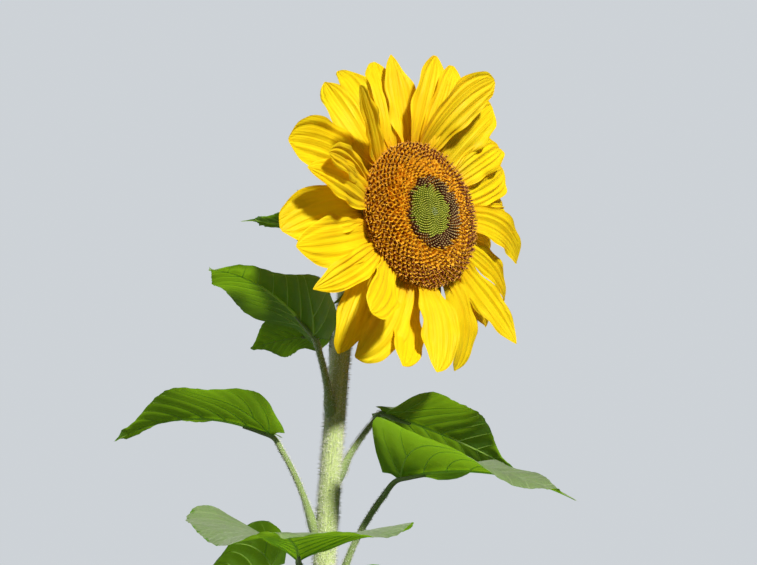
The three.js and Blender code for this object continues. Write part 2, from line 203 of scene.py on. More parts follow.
def feed(tree, socket, value):
    """Links a socket to another, or gives it a value: red, green and blue for a colour."""
    if isinstance(value, bpy.types.NodeSocket):
        tree.links.new(value, socket)
    else:
        socket.default_value = (*value, 1) if socket.type == "RGBA" else value


def maths(tree, operation, *values):
    """The output of a Math node on values or sockets."""
    node = tree.nodes.new("ShaderNodeMath")
    node.operation = operation
    for socket, value in zip(node.inputs, values):
        feed(tree, socket, value)
    return node.outputs[0]


def blend(tree, share, low, high):
    """The output of a node that mixes two colours by a share."""
    node = tree.nodes.new("ShaderNodeMix")
    node.data_type = "RGBA"
    feed(tree, node.inputs["Factor"], share)
    feed(tree, node.inputs[6], low)
    feed(tree, node.inputs[7], high)
    return node.outputs[2]


def laid_over(tree, colour, *layers):
    """A colour with others laid over it: each layer is a pattern, its strength and its colour."""
    for pattern, strength, top in layers:
        colour = blend(tree, maths(tree, "MULTIPLY", pattern, strength), colour, top)
    return colour


def spread_out(tree, value, low, high):
    """A value taken from low to high onto 0 to 1, with soft ends."""
    node = tree.nodes.new("ShaderNodeMapRange")
    node.interpolation_type = "SMOOTHSTEP"
    feed(tree, node.inputs["Value"], value)
    feed(tree, node.inputs["From Min"], low)
    feed(tree, node.inputs["From Max"], high)
    return node.outputs["Result"]


# Fibres: streaks and fine grooves that run the way the tissue grew. They follow the fact "grain",
# which holds two distances across the piece and the distance along it.
fibres, fibres_in, fibres_out = new_group(
    "fibres",
    [("Across", "NodeSocketFloat", 900.0), ("Along", "NodeSocketFloat", 30.0)],
    [("Streak", "NodeSocketFloat"), ("Broad", "NodeSocketFloat")],
)
grain = fibres.nodes.new("ShaderNodeAttribute")
grain.attribute_name = "grain"
for label, share in (("Streak", 1.0), ("Broad", 0.22)):
    stretch = fibres.nodes.new("ShaderNodeCombineXYZ")
    across_scale = maths(fibres, "MULTIPLY", fibres_in.outputs["Across"], share)
    along_scale = maths(fibres, "MULTIPLY", fibres_in.outputs["Along"], share)
    for socket, value in zip(stretch.inputs, (across_scale, across_scale, along_scale)):
        feed(fibres, socket, value)
    stretched = fibres.nodes.new("ShaderNodeVectorMath")
    stretched.operation = "MULTIPLY"
    feed(fibres, stretched.inputs[0], grain.outputs["Vector"])
    feed(fibres, stretched.inputs[1], stretch.outputs[0])
    noise = fibres.nodes.new("ShaderNodeTexNoise")
    noise.inputs["Scale"].default_value = 1.0
    noise.inputs["Detail"].default_value = 3.0
    feed(fibres, noise.inputs["Vector"], stretched.outputs[0])
    feed(fibres, fibres_out.inputs[label], spread_out(fibres, noise.outputs["Fac"], 0.3, 0.7))

# Mottle: slow uneven change of shade over living tissue, with fine specks in it.
mottle, mottle_in, mottle_out = new_group(
    "mottle",
    [("Patches", "NodeSocketFloat", 30.0), ("Specks", "NodeSocketFloat", 900.0)],
    [("Patch", "NodeSocketFloat"), ("Speck", "NodeSocketFloat")],
)
where = mottle.nodes.new("ShaderNodeTexCoord")
for label, scale, detail in (("Patch", "Patches", 4.0), ("Speck", "Specks", 2.0)):
    noise = mottle.nodes.new("ShaderNodeTexNoise")
    noise.inputs["Detail"].default_value = detail
    feed(mottle, noise.inputs["Vector"], where.outputs["Object"])
    feed(mottle, noise.inputs["Scale"], mottle_in.outputs[scale])
    feed(mottle, mottle_out.inputs[label], spread_out(mottle, noise.outputs["Fac"], 0.3, 0.7))


def place_group(tree, group, **values):
    """A node of a shared group in a material, with its own values."""
    node = tree.nodes.new("ShaderNodeGroup")
    node.node_tree = group
    for label, value in values.items():
        feed(tree, node.inputs[label], value)
    return node.outputs


def new_tissue(name, roughness, specular=0.5, sheen=0.0, through=None, share=0.0):
    """A material of living tissue: its tree and Principled shader. Its roughness is uneven. Where
    light gets through it, through is that light's colour and share how much of the surface lets it."""
    material = bpy.data.materials.new(name)
    material.use_nodes = True
    tree = material.node_tree
    surface = tree.nodes["Principled BSDF"]
    uneven = tree.nodes.new("ShaderNodeMapRange")
    uneven.inputs["To Min"].default_value = roughness - UNEVEN_ROUGHNESS
    uneven.inputs["To Max"].default_value = roughness + UNEVEN_ROUGHNESS
    feed(tree, uneven.inputs["Value"], place_group(tree, mottle, Patches=ROUGHNESS_PATCHES)["Patch"])
    feed(tree, surface.inputs["Roughness"], uneven.outputs["Result"])
    surface.inputs["Specular IOR Level"].default_value = specular
    surface.inputs["Sheen Weight"].default_value = sheen
    if through is not None:
        lit_through = tree.nodes.new("ShaderNodeBsdfTranslucent")
        feed(tree, lit_through.inputs["Color"], through)
        both = tree.nodes.new("ShaderNodeMixShader")
        both.inputs[0].default_value = share
        feed(tree, both.inputs[1], surface.outputs[0])
        feed(tree, both.inputs[2], lit_through.outputs[0])
        feed(tree, tree.nodes["Material Output"].inputs["Surface"], both.outputs[0])
    return material, tree, surface


def add_relief(tree, surface, height, distance, strength=1.0):
    """Bump on a surface from a height between 0 and 1, distance metres deep."""
    bump = tree.nodes.new("ShaderNodeBump")
    bump.inputs["Strength"].default_value = strength
    bump.inputs["Distance"].default_value = distance
    feed(tree, bump.inputs["Height"], height)
    feed(tree, surface.inputs["Normal"], bump.outputs[0])


head_facing = direction(HEAD_AZIMUTH, HEAD_RISE)
neck_end = HEAD_CENTRE - RECEPTACLE_DEPTH * head_facing


def stem_radius(height):
    """Radius of the stem at a height, with its flare at the ground."""
    taper = STEM_FOOT_RADIUS + (STEM_TOP_RADIUS - STEM_FOOT_RADIUS) * height / STEM_HEIGHT
    return taper + ROOT_FLARE * np.exp(-height / ROOT_FLARE_HEIGHT)


def stem_centre(height):
    """Centre of the stem at a height."""
    return smooth(STEM_LINE[:, 2], STEM_LINE, height)


def neck_line(t):
    """Point at t along the neck, which bends from the stem's way into the head's."""
    t = t[:, None]
    start = STEM_LINE[-1]
    leaving = start + (NECK_LEAN, 0, NECK_REACH)
    entering = neck_end - NECK_REACH * head_facing
    return (
        (1 - t) ** 3 * start + 3 * t * (1 - t) ** 2 * leaving
        + 3 * t**2 * (1 - t) * entering + t**3 * neck_end
    )


stem_heights = np.arange(0, STEM_HEIGHT, STEM_STEP)
neck_shares = np.linspace(0, 1, NECK_ROWS)
stem_path = np.concatenate([stem_centre(stem_heights), neck_line(neck_shares)])
neck_radii = STEM_TOP_RADIUS + (NECK_END_RADIUS - STEM_TOP_RADIUS) * neck_shares**2
stem_radii = np.concatenate([stem_radius(stem_heights), neck_radii])
stem_run = run_along(stem_path)
stem_turns = even_turns(STEM_SIDES)


def stem_skin(run, turn):
    """Radius as a share of the plain one: soft ribs that wander a little, and slight lumps."""
    ribs = np.cos(STEM_RIBS * turn + 1.5 * np.sin(7 * run))
    lumps = np.sin(3 * turn + 40 * run) * np.sin(23 * run + 1)
    return 1 + RIB_DEPTH * ribs * (0.6 + 0.4 * np.sin(11 * run + turn)) + LUMP_HEIGHT * lumps


stem_skin_radii = stem_radii[:, None] * stem_skin(stem_run[:, None], stem_turns)
stem_points = rings(stem_path, (1, 0, 0), stem_skin_radii, stem_turns)
stem_points[:STEM_SIDES, 2] = 0
stem_grain = turned(stem_radii[:, None], stem_turns, stem_run[:, None])

stem_skin_material, tree, surface = new_tissue("stem_skin", roughness=0.55, sheen=0.25)
streaks = place_group(tree, fibres, Across=700.0, Along=22.0)
patches = place_group(tree, mottle, Patches=24.0, Specks=1100.0)
green = laid_over(
    tree, blend(tree, streaks["Broad"], (0.3, 0.4, 0.1), (0.44, 0.54, 0.2)),
    (streaks["Streak"], 0.55, (0.6, 0.68, 0.36)), (patches["Patch"], 0.3, (0.26, 0.36, 0.08)),
)
feed(tree, surface.inputs["Base Color"], green)
add_relief(tree, surface, maths(tree, "ADD", streaks["Streak"], patches["Speck"]), 0.0004)

make_piece(
    "stem_and_neck",
    stem_points,
    [*limb_faces(len(stem_path), STEM_SIDES), np.arange(STEM_SIDES)[None, ::-1]],
    [stem_skin_material],
    replaced=["stem"],
    facts={"grain": stem_grain},
)


# ---- Leaf stalks ----
# Every leaf stands on one stalk that tapers from a broad foot clasping the stem, has a shallow
# channel along its upper side, and runs on under the blade. Nine are near the head, and the rest
# follow a spiral down the stem.

STALK_RADII = (0.0036, 0.0029, 0.0026)  # at the stem, halfway and at the blade
STALK_FOOT_RADIUS = 0.003  # inside the stem
STALK_FLARE_RADIUS = 0.005  # where it leaves the stem
STALK_FOOT_DEPTH = 0.026  # how far below its leaf's height the foot starts
STALK_FOOT_OUT = 0.35  # and how far out from the stem's middle, as a share of its radius
STALK_STEPS = 6
STALK_SIDES = 20
STALK_ROWS = 60
STALK_CHANNEL = 0.3  # share of the radius
STALK_RUN_ON = 0.03  # how far it runs on under the blade
STALK_SINK = 0.0012  # how far under the blade that part lies
STALK_END_RADIUS = 0.0012
# From the top down. stalk holds a stalk's azimuth, length, and rise at the stem and at the blade. The
# blade's azimuth, rise and roll change by swing, droop and twist towards its tip. folds are how far its
# left and right halves fold up at the base and the tip, and lobes how wide their bases are. The
# higher the taper, the sooner the blade narrows.
UPPER_LEAVES = [
    dict(height=1.44, stalk=(110, 0.07, 80, 60), azimuth=173, rise=40,
         droop=33, swing=-25, roll=-28, twist=-2, length=0.12, width=0.052,
         folds=(10, 16, 16, 16), lobes=(1.1, 0.7), taper=1.8),
    dict(height=1.338, stalk=(97, 0.098, 68, 56), azimuth=175, rise=4,
         droop=24, swing=-3, roll=0, twist=-18, length=0.083, width=0.095,
         folds=(2, 16, 15, 4), lobes=(0.75, 1.1), taper=0.75),
    dict(height=1.346, stalk=(239, 0.051, 71, 56), azimuth=205, rise=54,
         droop=75, swing=33, roll=5, twist=-2, length=0.14, width=0.15,
         folds=(7, 3, 16, 1), lobes=(1.1, 0.5), taper=1.15),
    dict(height=1.285, stalk=(18, 0.061, 61, 49), azimuth=9, rise=-15,
         droop=14, swing=0, roll=16, twist=16, length=0.141, width=0.136,
         folds=(13, 9, -13, 19), lobes=(1, 0.9), taper=1.45),
    dict(height=1.229, stalk=(189, 0.086, 74, 55), azimuth=190, rise=25,
         droop=52, swing=-30, roll=-3, twist=-3, length=0.156, width=0.128,
         folds=(15, 19, 27, 18), lobes=(1, 1.1), taper=1.2),
    dict(height=1.163, stalk=(336, 0.117, 76, 43), azimuth=325, rise=9,
         droop=39, swing=28, roll=5, twist=-30, length=0.169, width=0.179,
         folds=(19, 6, 37, -7), lobes=(0.95, 0.95), taper=1.65),
    dict(height=1.13, stalk=(260, 0.089, 48, 28), azimuth=275, rise=5,
         droop=11, swing=-16, roll=3, twist=-6, length=0.162, width=0.194,
         folds=(28, -6, 33, -8), lobes=(1.05, 1.1), taper=1),
    dict(height=1.1, stalk=(168, 0.092, 80, 66), azimuth=212, rise=2,
         droop=65, swing=-4, roll=-18, twist=4, length=0.125, width=0.152,
         folds=(21, 10, 6, 0), lobes=(0.75, 0.95), taper=1.5),
    dict(height=1.072, stalk=(302, 0.105, 66, 40), azimuth=298, rise=18,
         droop=52, swing=9, roll=1, twist=3, length=0.175, width=0.144,
         folds=(10, 13, 6, 11), lobes=(0.95, 1), taper=1.05),
]
LOWER_LEAVES = 13
LOWER_TOP = 1.018
LOWER_STEP = 0.066
LOWER_FIRST_AZIMUTH = 78
SPIRAL_ANGLE = 137.5


def lower_leaf(i):
    """The i-th leaf of the spiral from its top: largest halfway, hanging more towards the ground."""
    down = i / (LOWER_LEAVES - 1)
    bulge = math.sin(math.pi * (0.15 + 0.75 * down))
    azimuth = LOWER_FIRST_AZIMUTH + SPIRAL_ANGLE * i

    def vary(k):
        """A number between -1 and 1 that differs from leaf to leaf, in its own way for each k."""
        return math.sin(2.4 * i * k + k)

    length = 0.165 + 0.045 * bulge + 0.008 * vary(2)
    return dict(
        height=LOWER_TOP - LOWER_STEP * i,
        stalk=(azimuth, 0.085 + 0.035 * bulge, 62 - 14 * down, 38 - 22 * down),
        azimuth=azimuth + 8 * vary(3),
        rise=14 - 26 * down + 5 * vary(1),
        droop=38 + 14 * down,
        swing=7 * vary(4),
        roll=7 * vary(5),
        twist=6 * vary(1),
        length=length,
        width=0.84 * length,
        folds=(12, 6, 12, 6),
        lobes=(1, 1),
        taper=1,
    )


def stalk_line(leaf):
    """Points along the middle of a leaf's stalk, from the side of the stem to the blade."""
    azimuth, length, rise_at_stem, rise_at_blade = leaf["stalk"]
    height = leaf["height"]
    clear = stem_radius(height) + STALK_RADII[0] * math.sin(math.radians(rise_at_stem))
    foot = stem_centre(height) + direction(azimuth, 0) * clear
    shares = (np.arange(STALK_STEPS) + 0.5) / STALK_STEPS
    ways = direction(azimuth, rise_at_stem + (rise_at_blade - rise_at_stem) * shares)
    return foot + summed(ways * length / STALK_STEPS)


def blade_ways(leaf, s):
    """The ways ahead, to the right and up out of a leaf's blade at shares s of its length."""
    azimuth = leaf["azimuth"] + leaf["swing"] * s
    ahead = direction(azimuth, leaf["rise"] - leaf["droop"] * s)
    level = direction(azimuth - 90, 0)
    roll = np.radians(leaf["roll"] + leaf["twist"] * s)[..., None]
    side = level * np.cos(roll) + np.cross(level, ahead) * np.sin(roll)
    return ahead, side, np.cross(side, ahead)


def even_path(points, count):
    """Points at even distances along the smooth line through some points."""
    run = run_along(points)
    return smooth(run, points, np.linspace(0, run[-1], count))


def stalk_path(leaf):
    """Points at even distances from inside the stem, along the stalk and on under the blade."""
    line = stalk_line(leaf)
    azimuth = leaf["stalk"][0]
    low = leaf["height"] - STALK_FOOT_DEPTH
    root = stem_centre(low) + direction(azimuth, 0) * STALK_FOOT_OUT * stem_radius(low)
    ahead, _, normal = blade_ways(leaf, np.array([0.0, 0.1]))
    under = line[-1] + ahead * np.array([[0.45], [1.0]]) * STALK_RUN_ON - normal * STALK_SINK
    return even_path(np.concatenate([[root], line[1:], under]), STALK_ROWS)


def stalk_radii(turns):
    """Radii of a stalk's rings: broad and flat at the foot, channelled on top, thin at the end."""
    share = np.linspace(0, 1, STALK_ROWS)[:, None]
    places = (0, 0.17, 0.3, 0.5, 0.8, 1)
    radii = (STALK_FOOT_RADIUS, STALK_FLARE_RADIUS, *STALK_RADII, STALK_END_RADIUS)
    radius = smooth(places, radii, share)
    foot = np.exp(-((share / 0.18) ** 2))
    from_top = (turns - np.pi / 2 + np.pi) % (2 * np.pi) - np.pi
    channel = STALK_CHANNEL * np.exp(-((from_top / 0.55) ** 2)) * np.minimum(1, 8 * share)
    return radius * (1 + 0.35 * foot * np.cos(turns) ** 2 - channel + 0.035 * np.cos(9 * turns))


stalk_material, tree, surface = new_tissue("stalk_skin", roughness=0.5, sheen=0.2)
streaks = place_group(tree, fibres, Across=1400.0, Along=30.0)
patches = place_group(tree, mottle, Patches=40.0, Specks=1500.0)
green = blend(tree, streaks["Broad"], (0.11, 0.19, 0.035), (0.22, 0.32, 0.08))
green = laid_over(tree, green, (streaks["Streak"], 0.4, (0.34, 0.44, 0.15)))
feed(tree, surface.inputs["Base Color"], green)
add_relief(tree, surface, maths(tree, "ADD", streaks["Streak"], patches["Speck"]), 0.0003)

leaves = UPPER_LEAVES + [lower_leaf(i) for i in range(LOWER_LEAVES)]
stalk_turns = even_turns(STALK_SIDES)
for number, leaf in enumerate(leaves, 1):
    path = stalk_path(leaf)
    radii = stalk_radii(stalk_turns)
    left = direction(leaf["stalk"][0] + 90, 0)
    points = rings(path, left, radii, stalk_turns)
    run = np.linalg.norm(np.diff(path[:2], axis=0)) * np.arange(STALK_ROWS)[:, None]
    grain_here = turned(radii, stalk_turns, run)
    make_piece(
        f"leaf_stalk_{number:02d}",
        points,
        limb_faces(STALK_ROWS, STALK_SIDES),
        [stalk_material],
        replaced=[f"stalk_{number:02d}"],
        facts={"grain": grain_here},
    )


# ---- Hairs ----
# Stiff white hairs stand out all over the stem and the stalks, 2 to 5 mm long on the stem and up to
# 2 mm on the stalks. Each is a slender three-sided spine.

STEM_HAIRS = 42000
STEM_HAIR_LENGTH = (0.002, 0.0048)
STALK_HAIRS = 900  # on each stalk
STALK_HAIR_LENGTH = (0.0008, 0.002)
HAIR_RADIUS = 0.00024
HAIR_LEAN = 0.28  # how unevenly they stand
BARE_RINGS = 12  # at the foot of the stem, without hairs
HAIRY_RINGS = slice(8, 46)  # of a stalk, clear of the stem and of the blade
chance = np.random.default_rng(11)


def hairs_on(path, first_side, radii, count, lengths):
    """Points of hairs spread over a limb, four for each: three at its root and its tip."""
    _, across, up = frames_along(path, first_side)
    place = chance.uniform(0, len(path) - 1.001, count)
    k = place.astype(int)
    share = (place - k)[:, None]
    turn = chance.uniform(0, 2 * np.pi, count)[:, None]
    out = unit(across[k] * np.cos(turn) + up[k] * np.sin(turn))
    root = path[k] * (1 - share) + path[k + 1] * share + out * radii[k][:, None] * 0.97
    way = unit(out + chance.normal(0, HAIR_LEAN, (count, 3)))
    side = unit(np.cross(way, chance.normal(0, 1, (count, 3))))
    other = np.cross(way, side)
    length = chance.uniform(*lengths, count)[:, None]
    feet = [
        root + HAIR_RADIUS * (side * math.cos(angle) + other * math.sin(angle))
        for angle in (0, 2 * math.pi / 3, 4 * math.pi / 3)
    ]
    return np.stack([*feet, root + way * length], axis=1).reshape(-1, 3)


def hair_faces(points):
    """The three sides of each hair."""
    first = 4 * np.arange(len(points) // 4)[:, None]
    return np.concatenate([first + corners for corners in ((0, 1, 3), (1, 2, 3), (2, 0, 3))])


def speckled(name, dark, light, fineness, relief, **tissue):
    """A material of two shades of one colour in patches, with fine specks in relief. fineness is how
    many patches and specks there are to a metre."""
    material, tree, surface = new_tissue(name, **tissue)
    patches = place_group(tree, mottle, Patches=fineness[0], Specks=fineness[1])
    feed(tree, surface.inputs["Base Color"], blend(tree, patches["Patch"], dark, light))
    add_relief(tree, surface, patches["Speck"], relief)
    return material


hair_material = speckled(
    "white_hair", (0.84, 0.87, 0.72), (0.95, 0.96, 0.88), (300, 2500), 0.00005,
    roughness=0.35, specular=0.6, through=(0.9, 0.92, 0.8), share=0.35,
)

stem_hairs = hairs_on(
    stem_path[BARE_RINGS:], (1, 0, 0), stem_radii[BARE_RINGS:], STEM_HAIRS, STEM_HAIR_LENGTH
)
side_radii = stalk_radii(stalk_turns)[HAIRY_RINGS, 0]
stalk_hairs = np.concatenate([
    hairs_on(stalk_path(leaf)[HAIRY_RINGS], (0, 0, 1), side_radii, STALK_HAIRS, STALK_HAIR_LENGTH)
    for leaf in leaves
])
make_piece("stem_hairs", stem_hairs, [hair_faces(stem_hairs)], [hair_material])
make_piece("stalk_hairs", stalk_hairs, [hair_faces(stalk_hairs)], [hair_material])


# ---- Leaf blades ----
# A leaf is a thin heart-shaped blade with a toothed edge. Its midrib and side veins stand proud
# underneath and lie in furrows on top, and the blade swells a little between them. The upper side is
# a grey-green made paler than its own colour as painted sheen. The underside is painted dark green
# for shade, though its own colour is paler than the top; its veins are light.

BLADE_ROWS = 88
BLADE_COLUMNS = 31
BLADE_THICKNESS = 0.0007
BLADE_START = 0.0017  # past the end of its stalk
BLADE_LOBE = 0.055  # share of the length that each base lobe reaches back
LOBE_REACH = 0.32  # share of the length over which a narrow base widens
BLADE_ARCH = 0.1
BLADE_WIDTHS = np.array([
    (0, 0.3), (0.025, 0.5), (0.07, 0.72), (0.15, 0.92), (0.26, 1), (0.4, 0.94), (0.57, 0.75),
    (0.73, 0.48), (0.87, 0.2), (0.96, 0.05), (1, 0),
])
TOOTH_STEP = 0.0075
TOOTH_DEPTH = 0.0013
BLADE_WAVE = 0.0035
BLADE_SWELL = 0.0014  # how far the blade rises between its veins
FURROW_WIDTH = 0.0045
BASE_VEIN = (0.02, 0.34, 0.34)  # start, slope and bend of the strong vein each side of the base
SIDE_VEIN = (0.16, 0.34, 0.24)
SIDE_VEIN_STEP = 0.13
OUTER_VEIN = (-0.06, 0.02, 0.15)
OUTER_VEIN_STEP = 0.09
MIDRIB_RADIUS = 0.0017
BASE_VEIN_RADIUS = 0.001
SIDE_VEIN_RADIUS = 0.0007
SIDE_VEIN_THINNING = 0.00005  # from one to the next towards the tip
OUTER_VEIN_RADIUS = 0.0006
VEIN_MARGIN = 0.94  # share of the way to the margin at which the veins stop
VEIN_BASE_GAP = 0.012  # between a vein's tube and the base edge
VEIN_SIDES = 6
VEIN_ROWS = 18
NET_CELLS = 230  # to a metre


def walked(ahead, length):
    """Places along a line of a given length whose way ahead is given at even steps."""
    return summed((ahead[1:] + ahead[:-1]) / 2 * length / (len(ahead) - 1))


def blade_spine(leaf):
    """Shares along a blade, and the middle, the way right and the way up out of it there."""
    s = np.linspace(0, 1, 80)
    ahead, side, normal = blade_ways(leaf, s)
    line = stalk_line(leaf)
    start = line[-1] + unit(line[-1] - line[-2]) * BLADE_START
    return s, start + walked(ahead, leaf["length"]), side, normal, ahead[0]


def half_width(leaf, s, right):
    """The plain width of a blade's left or right half at shares s of its length."""
    left_lobe, right_lobe = leaf["lobes"]
    lobe = np.where(right, right_lobe, left_lobe)
    past_lobe = np.clip(s / LOBE_REACH, 0, 1)
    narrowing = lobe + (1 - lobe) * past_lobe**2 * (3 - 2 * past_lobe)
    plain = np.maximum(smooth(*BLADE_WIDTHS.T, s), 0) ** leaf["taper"]
    return leaf["width"] / 2 * plain * narrowing


def base_margin(leaf, x, right):
    """Share of the length at which the base edge of a blade lies, x metres from its middle."""
    t = np.linspace(0, 0.2, 20)
    half = half_width(leaf, t, right)
    v = np.linspace(0, 1, 10, endpoint=False)
    out = np.concatenate([v * half[0], half])
    edge = np.concatenate([-BLADE_LOBE * v**1.6, t - BLADE_LOBE * (1 - t) ** 3])
    return np.interp(np.abs(x), out, edge)


def vein_line(line, w):
    """Share of the length that a vein has reached at share w of the way to the widest margin."""
    start, slope, bend = line
    return start + slope * w + bend * w**2


def vein_distance(leaf, s, x):
    """Distance in metres from places on a blade to the nearest vein."""
    w = np.abs(x) / (leaf["width"] / 2)
    base = s - vein_line(BASE_VEIN, w)
    found = np.minimum(np.abs(base) * leaf["length"], np.abs(x))
    inner = (SIDE_VEIN, SIDE_VEIN_STEP, base > 0)
    outer = (OUTER_VEIN, OUTER_VEIN_STEP, base < 0)
    for line, step, there in (inner, outer):
        gap = s - vein_line(line, w)
        near = np.abs(gap - np.round(gap / step) * step) * leaf["length"]
        found = np.where(there & (gap > -0.3 * step), np.minimum(found, near), found)
    return found


def on_blade(leaf, spine, s, x, height=0.0):
    """Points of a blade at shares s of its length and x metres to the right, raised by height."""
    shares, middle, side, normal, first_ahead = spine
    within = np.clip(s, 0, 1)

    def at(values):
        return np.stack([np.interp(within, shares, values[:, k]) for k in range(3)], axis=-1)

    left_base, left_tip, right_base, right_tip = np.radians(leaf["folds"])
    fold_left = left_base + (left_tip - left_base) * within
    fold_right = right_base + (right_tip - right_base) * within
    fold = np.where(x < 0, fold_left, fold_right)
    half = np.maximum(half_width(leaf, np.maximum(within, 0.05), x > 0), 0.004)
    edge = np.clip(np.abs(x) / half, 0, 1.2)
    wave = BLADE_WAVE * edge**3 * np.sin(15 * s + 2.1 * np.sign(x) + leaf["azimuth"])
    from_vein = vein_distance(leaf, s, x) / FURROW_WIDTH
    swell = BLADE_SWELL * (1 - np.exp(-(from_vein**2))) * (1 - 0.6 * edge)
    lift = np.abs(x) * np.sin(fold) - BLADE_ARCH * x**2 / half + wave + swell + height
    back = np.minimum(s, 0)[..., None] * leaf["length"] * first_ahead
    across = at(side) * (x * np.cos(fold))[..., None]
    return (at(middle) + back + across + at(normal) * lift[..., None]).reshape(-1, 3)


def blade_grid(leaf):
    """Places of a blade's points: share of its length, and distance to the right."""
    t = (np.linspace(0, 1, BLADE_ROWS) ** 1.05)[:, None]
    v = np.linspace(-1, 1, BLADE_COLUMNS)[None]
    tooth = (t * leaf["length"] / TOOTH_STEP + 0.6 * np.sin(31 * t) + 0.5 * (v > 0)) % 1
    teeth = TOOTH_DEPTH * (tooth - 0.5) * np.sin(np.pi * np.clip(t, 0, 1)) ** 0.5
    s = t - BLADE_LOBE * (1 - t) ** 3 * np.abs(v) ** 1.6
    return s, v * half_width(leaf, t, v > 0) + np.sign(v) * np.abs(v) ** 6 * teeth


def vein_tubes(leaf, spine):
    """Points of the veins that stand proud under a blade, one tube after another."""
    tubes = [(np.linspace(0, 0.985, 3 * VEIN_ROWS), np.zeros(3 * VEIN_ROWS), MIDRIB_RADIUS)]
    lines = [(BASE_VEIN, 0, 0, BASE_VEIN_RADIUS)]
    for k in range(7):
        lines.append((SIDE_VEIN, k * SIDE_VEIN_STEP, 0, SIDE_VEIN_RADIUS - SIDE_VEIN_THINNING * k))
    for k in range(3):
        shift = k * OUTER_VEIN_STEP
        w = np.linspace(0, 1, 200)
        gap = vein_line(BASE_VEIN, w) - vein_line(OUTER_VEIN, w) - shift
        lines.append((OUTER_VEIN, shift, w[np.argmax(gap > 0)], OUTER_VEIN_RADIUS))
    for (line, shift, first, radius), way in itertools.product(lines, (-1, 1)):
        w = np.linspace(first, 1.2, 300)
        s = vein_line(line, w) + shift
        x = w * leaf["width"] / 2
        inside = x < VEIN_MARGIN * half_width(leaf, np.maximum(s, 0), way > 0)
        inside &= s > base_margin(leaf, x, way > 0) + VEIN_BASE_GAP
        last = w[np.argmin(inside)] if not inside.all() else w[-1]
        if last - first < 0.08:
            continue
        w = np.linspace(first, last, VEIN_ROWS)
        tubes.append((vein_line(line, w) + shift, way * w * leaf["width"] / 2, radius))
    turns = even_turns(VEIN_SIDES)
    points, faces, first = [], [], 0
    for s, x, radius in tubes:
        thin = radius * np.linspace(1, 0.16, len(s))
        path = on_blade(leaf, spine, s, x, -(BLADE_THICKNESS / 2 + 0.5 * thin))
        points.append(rings(path, spine[3][0], thin[:, None] + 0 * turns, turns))
        faces.append(first + grid_faces(len(s), VEIN_SIDES, around=True))
        first += len(points[-1])
    return np.concatenate(points), np.concatenate(faces)


# Veins: the same pattern as pale lines, from the fact "leaf_place", which holds the share of the
# way to the widest margin, the share of the length, and the length.
veins, veins_in, veins_out = new_group(
    "veins",
    [("Width", "NodeSocketFloat", 0.001)],
    [("Line", "NodeSocketFloat"), ("Net", "NodeSocketFloat")],
)
leaf_place = veins.nodes.new("ShaderNodeAttribute")
leaf_place.attribute_name = "leaf_place"
split = veins.nodes.new("ShaderNodeSeparateXYZ")
feed(veins, split.inputs[0], leaf_place.outputs["Vector"])
out_share, long_share, blade_length = split.outputs


def gap_to_line(line):
    """Node output: how far along the blade a place lies from a vein's line, as a share."""
    start, slope, bend = line
    rise = maths(veins, "ADD", maths(veins, "MULTIPLY", out_share, bend), slope)
    reached = maths(veins, "ADD", maths(veins, "MULTIPLY", out_share, rise), start)
    return maths(veins, "SUBTRACT", long_share, reached)


base_gap = gap_to_line(BASE_VEIN)
off_midrib = maths(veins, "MULTIPLY", out_share, 0.42)
nearest = maths(veins, "MINIMUM", maths(veins, "ABSOLUTE", base_gap), off_midrib)
for line, step, side_of_base in (
    (SIDE_VEIN, SIDE_VEIN_STEP, "LESS_THAN"), (OUTER_VEIN, OUTER_VEIN_STEP, "GREATER_THAN"),
):
    gap = gap_to_line(line)
    steps = maths(veins, "DIVIDE", gap, step)
    off = maths(veins, "ABSOLUTE", maths(veins, "SUBTRACT", steps, maths(veins, "ROUND", steps)))
    off = maths(veins, "MULTIPLY", off, step)
    beyond = maths(veins, side_of_base, base_gap, 0.0)
    before = maths(veins, "LESS_THAN", gap, -0.3 * step)
    off = maths(veins, "ADD", off, maths(veins, "ADD", beyond, before))
    nearest = maths(veins, "MINIMUM", nearest, off)
nearest = maths(veins, "MULTIPLY", nearest, blade_length)
width = veins_in.outputs["Width"]
off_vein = spread_out(veins, nearest, maths(veins, "MULTIPLY", width, 0.3), width)
feed(veins, veins_out.inputs["Line"], maths(veins, "SUBTRACT", 1.0, off_vein))
net_place = veins.nodes.new("ShaderNodeTexCoord")
net = veins.nodes.new("ShaderNodeTexVoronoi")
net.feature = "DISTANCE_TO_EDGE"
net.inputs["Scale"].default_value = NET_CELLS
feed(veins, net.inputs["Vector"], net_place.outputs["Object"])
feed(veins, veins_out.inputs["Net"], spread_out(veins, net.outputs["Distance"], 0.0, 0.16))


def blade_material(name, dark, light, vein, through, roughness, sheen, share, vein_share, vein_width):
    """Leaf surface: two greens in patches, paler veins and a fine net in relief."""
    material, tree, surface = new_tissue(name, roughness, sheen=sheen, through=through, share=share)
    patches = place_group(tree, mottle, Patches=28.0, Specks=1300.0)
    pattern = place_group(tree, veins, Width=vein_width)
    cells = maths(tree, "SUBTRACT", 1.0, pattern["Net"])
    green = laid_over(
        tree, blend(tree, patches["Patch"], dark, light),
        (cells, 0.22, vein), (pattern["Line"], vein_share, vein),
    )
    feed(tree, surface.inputs["Base Color"], green)
    height = maths(tree, "ADD", pattern["Net"], maths(tree, "MULTIPLY", patches["Speck"], 0.3))
    add_relief(tree, surface, height, 0.0005, 0.7)
    return material
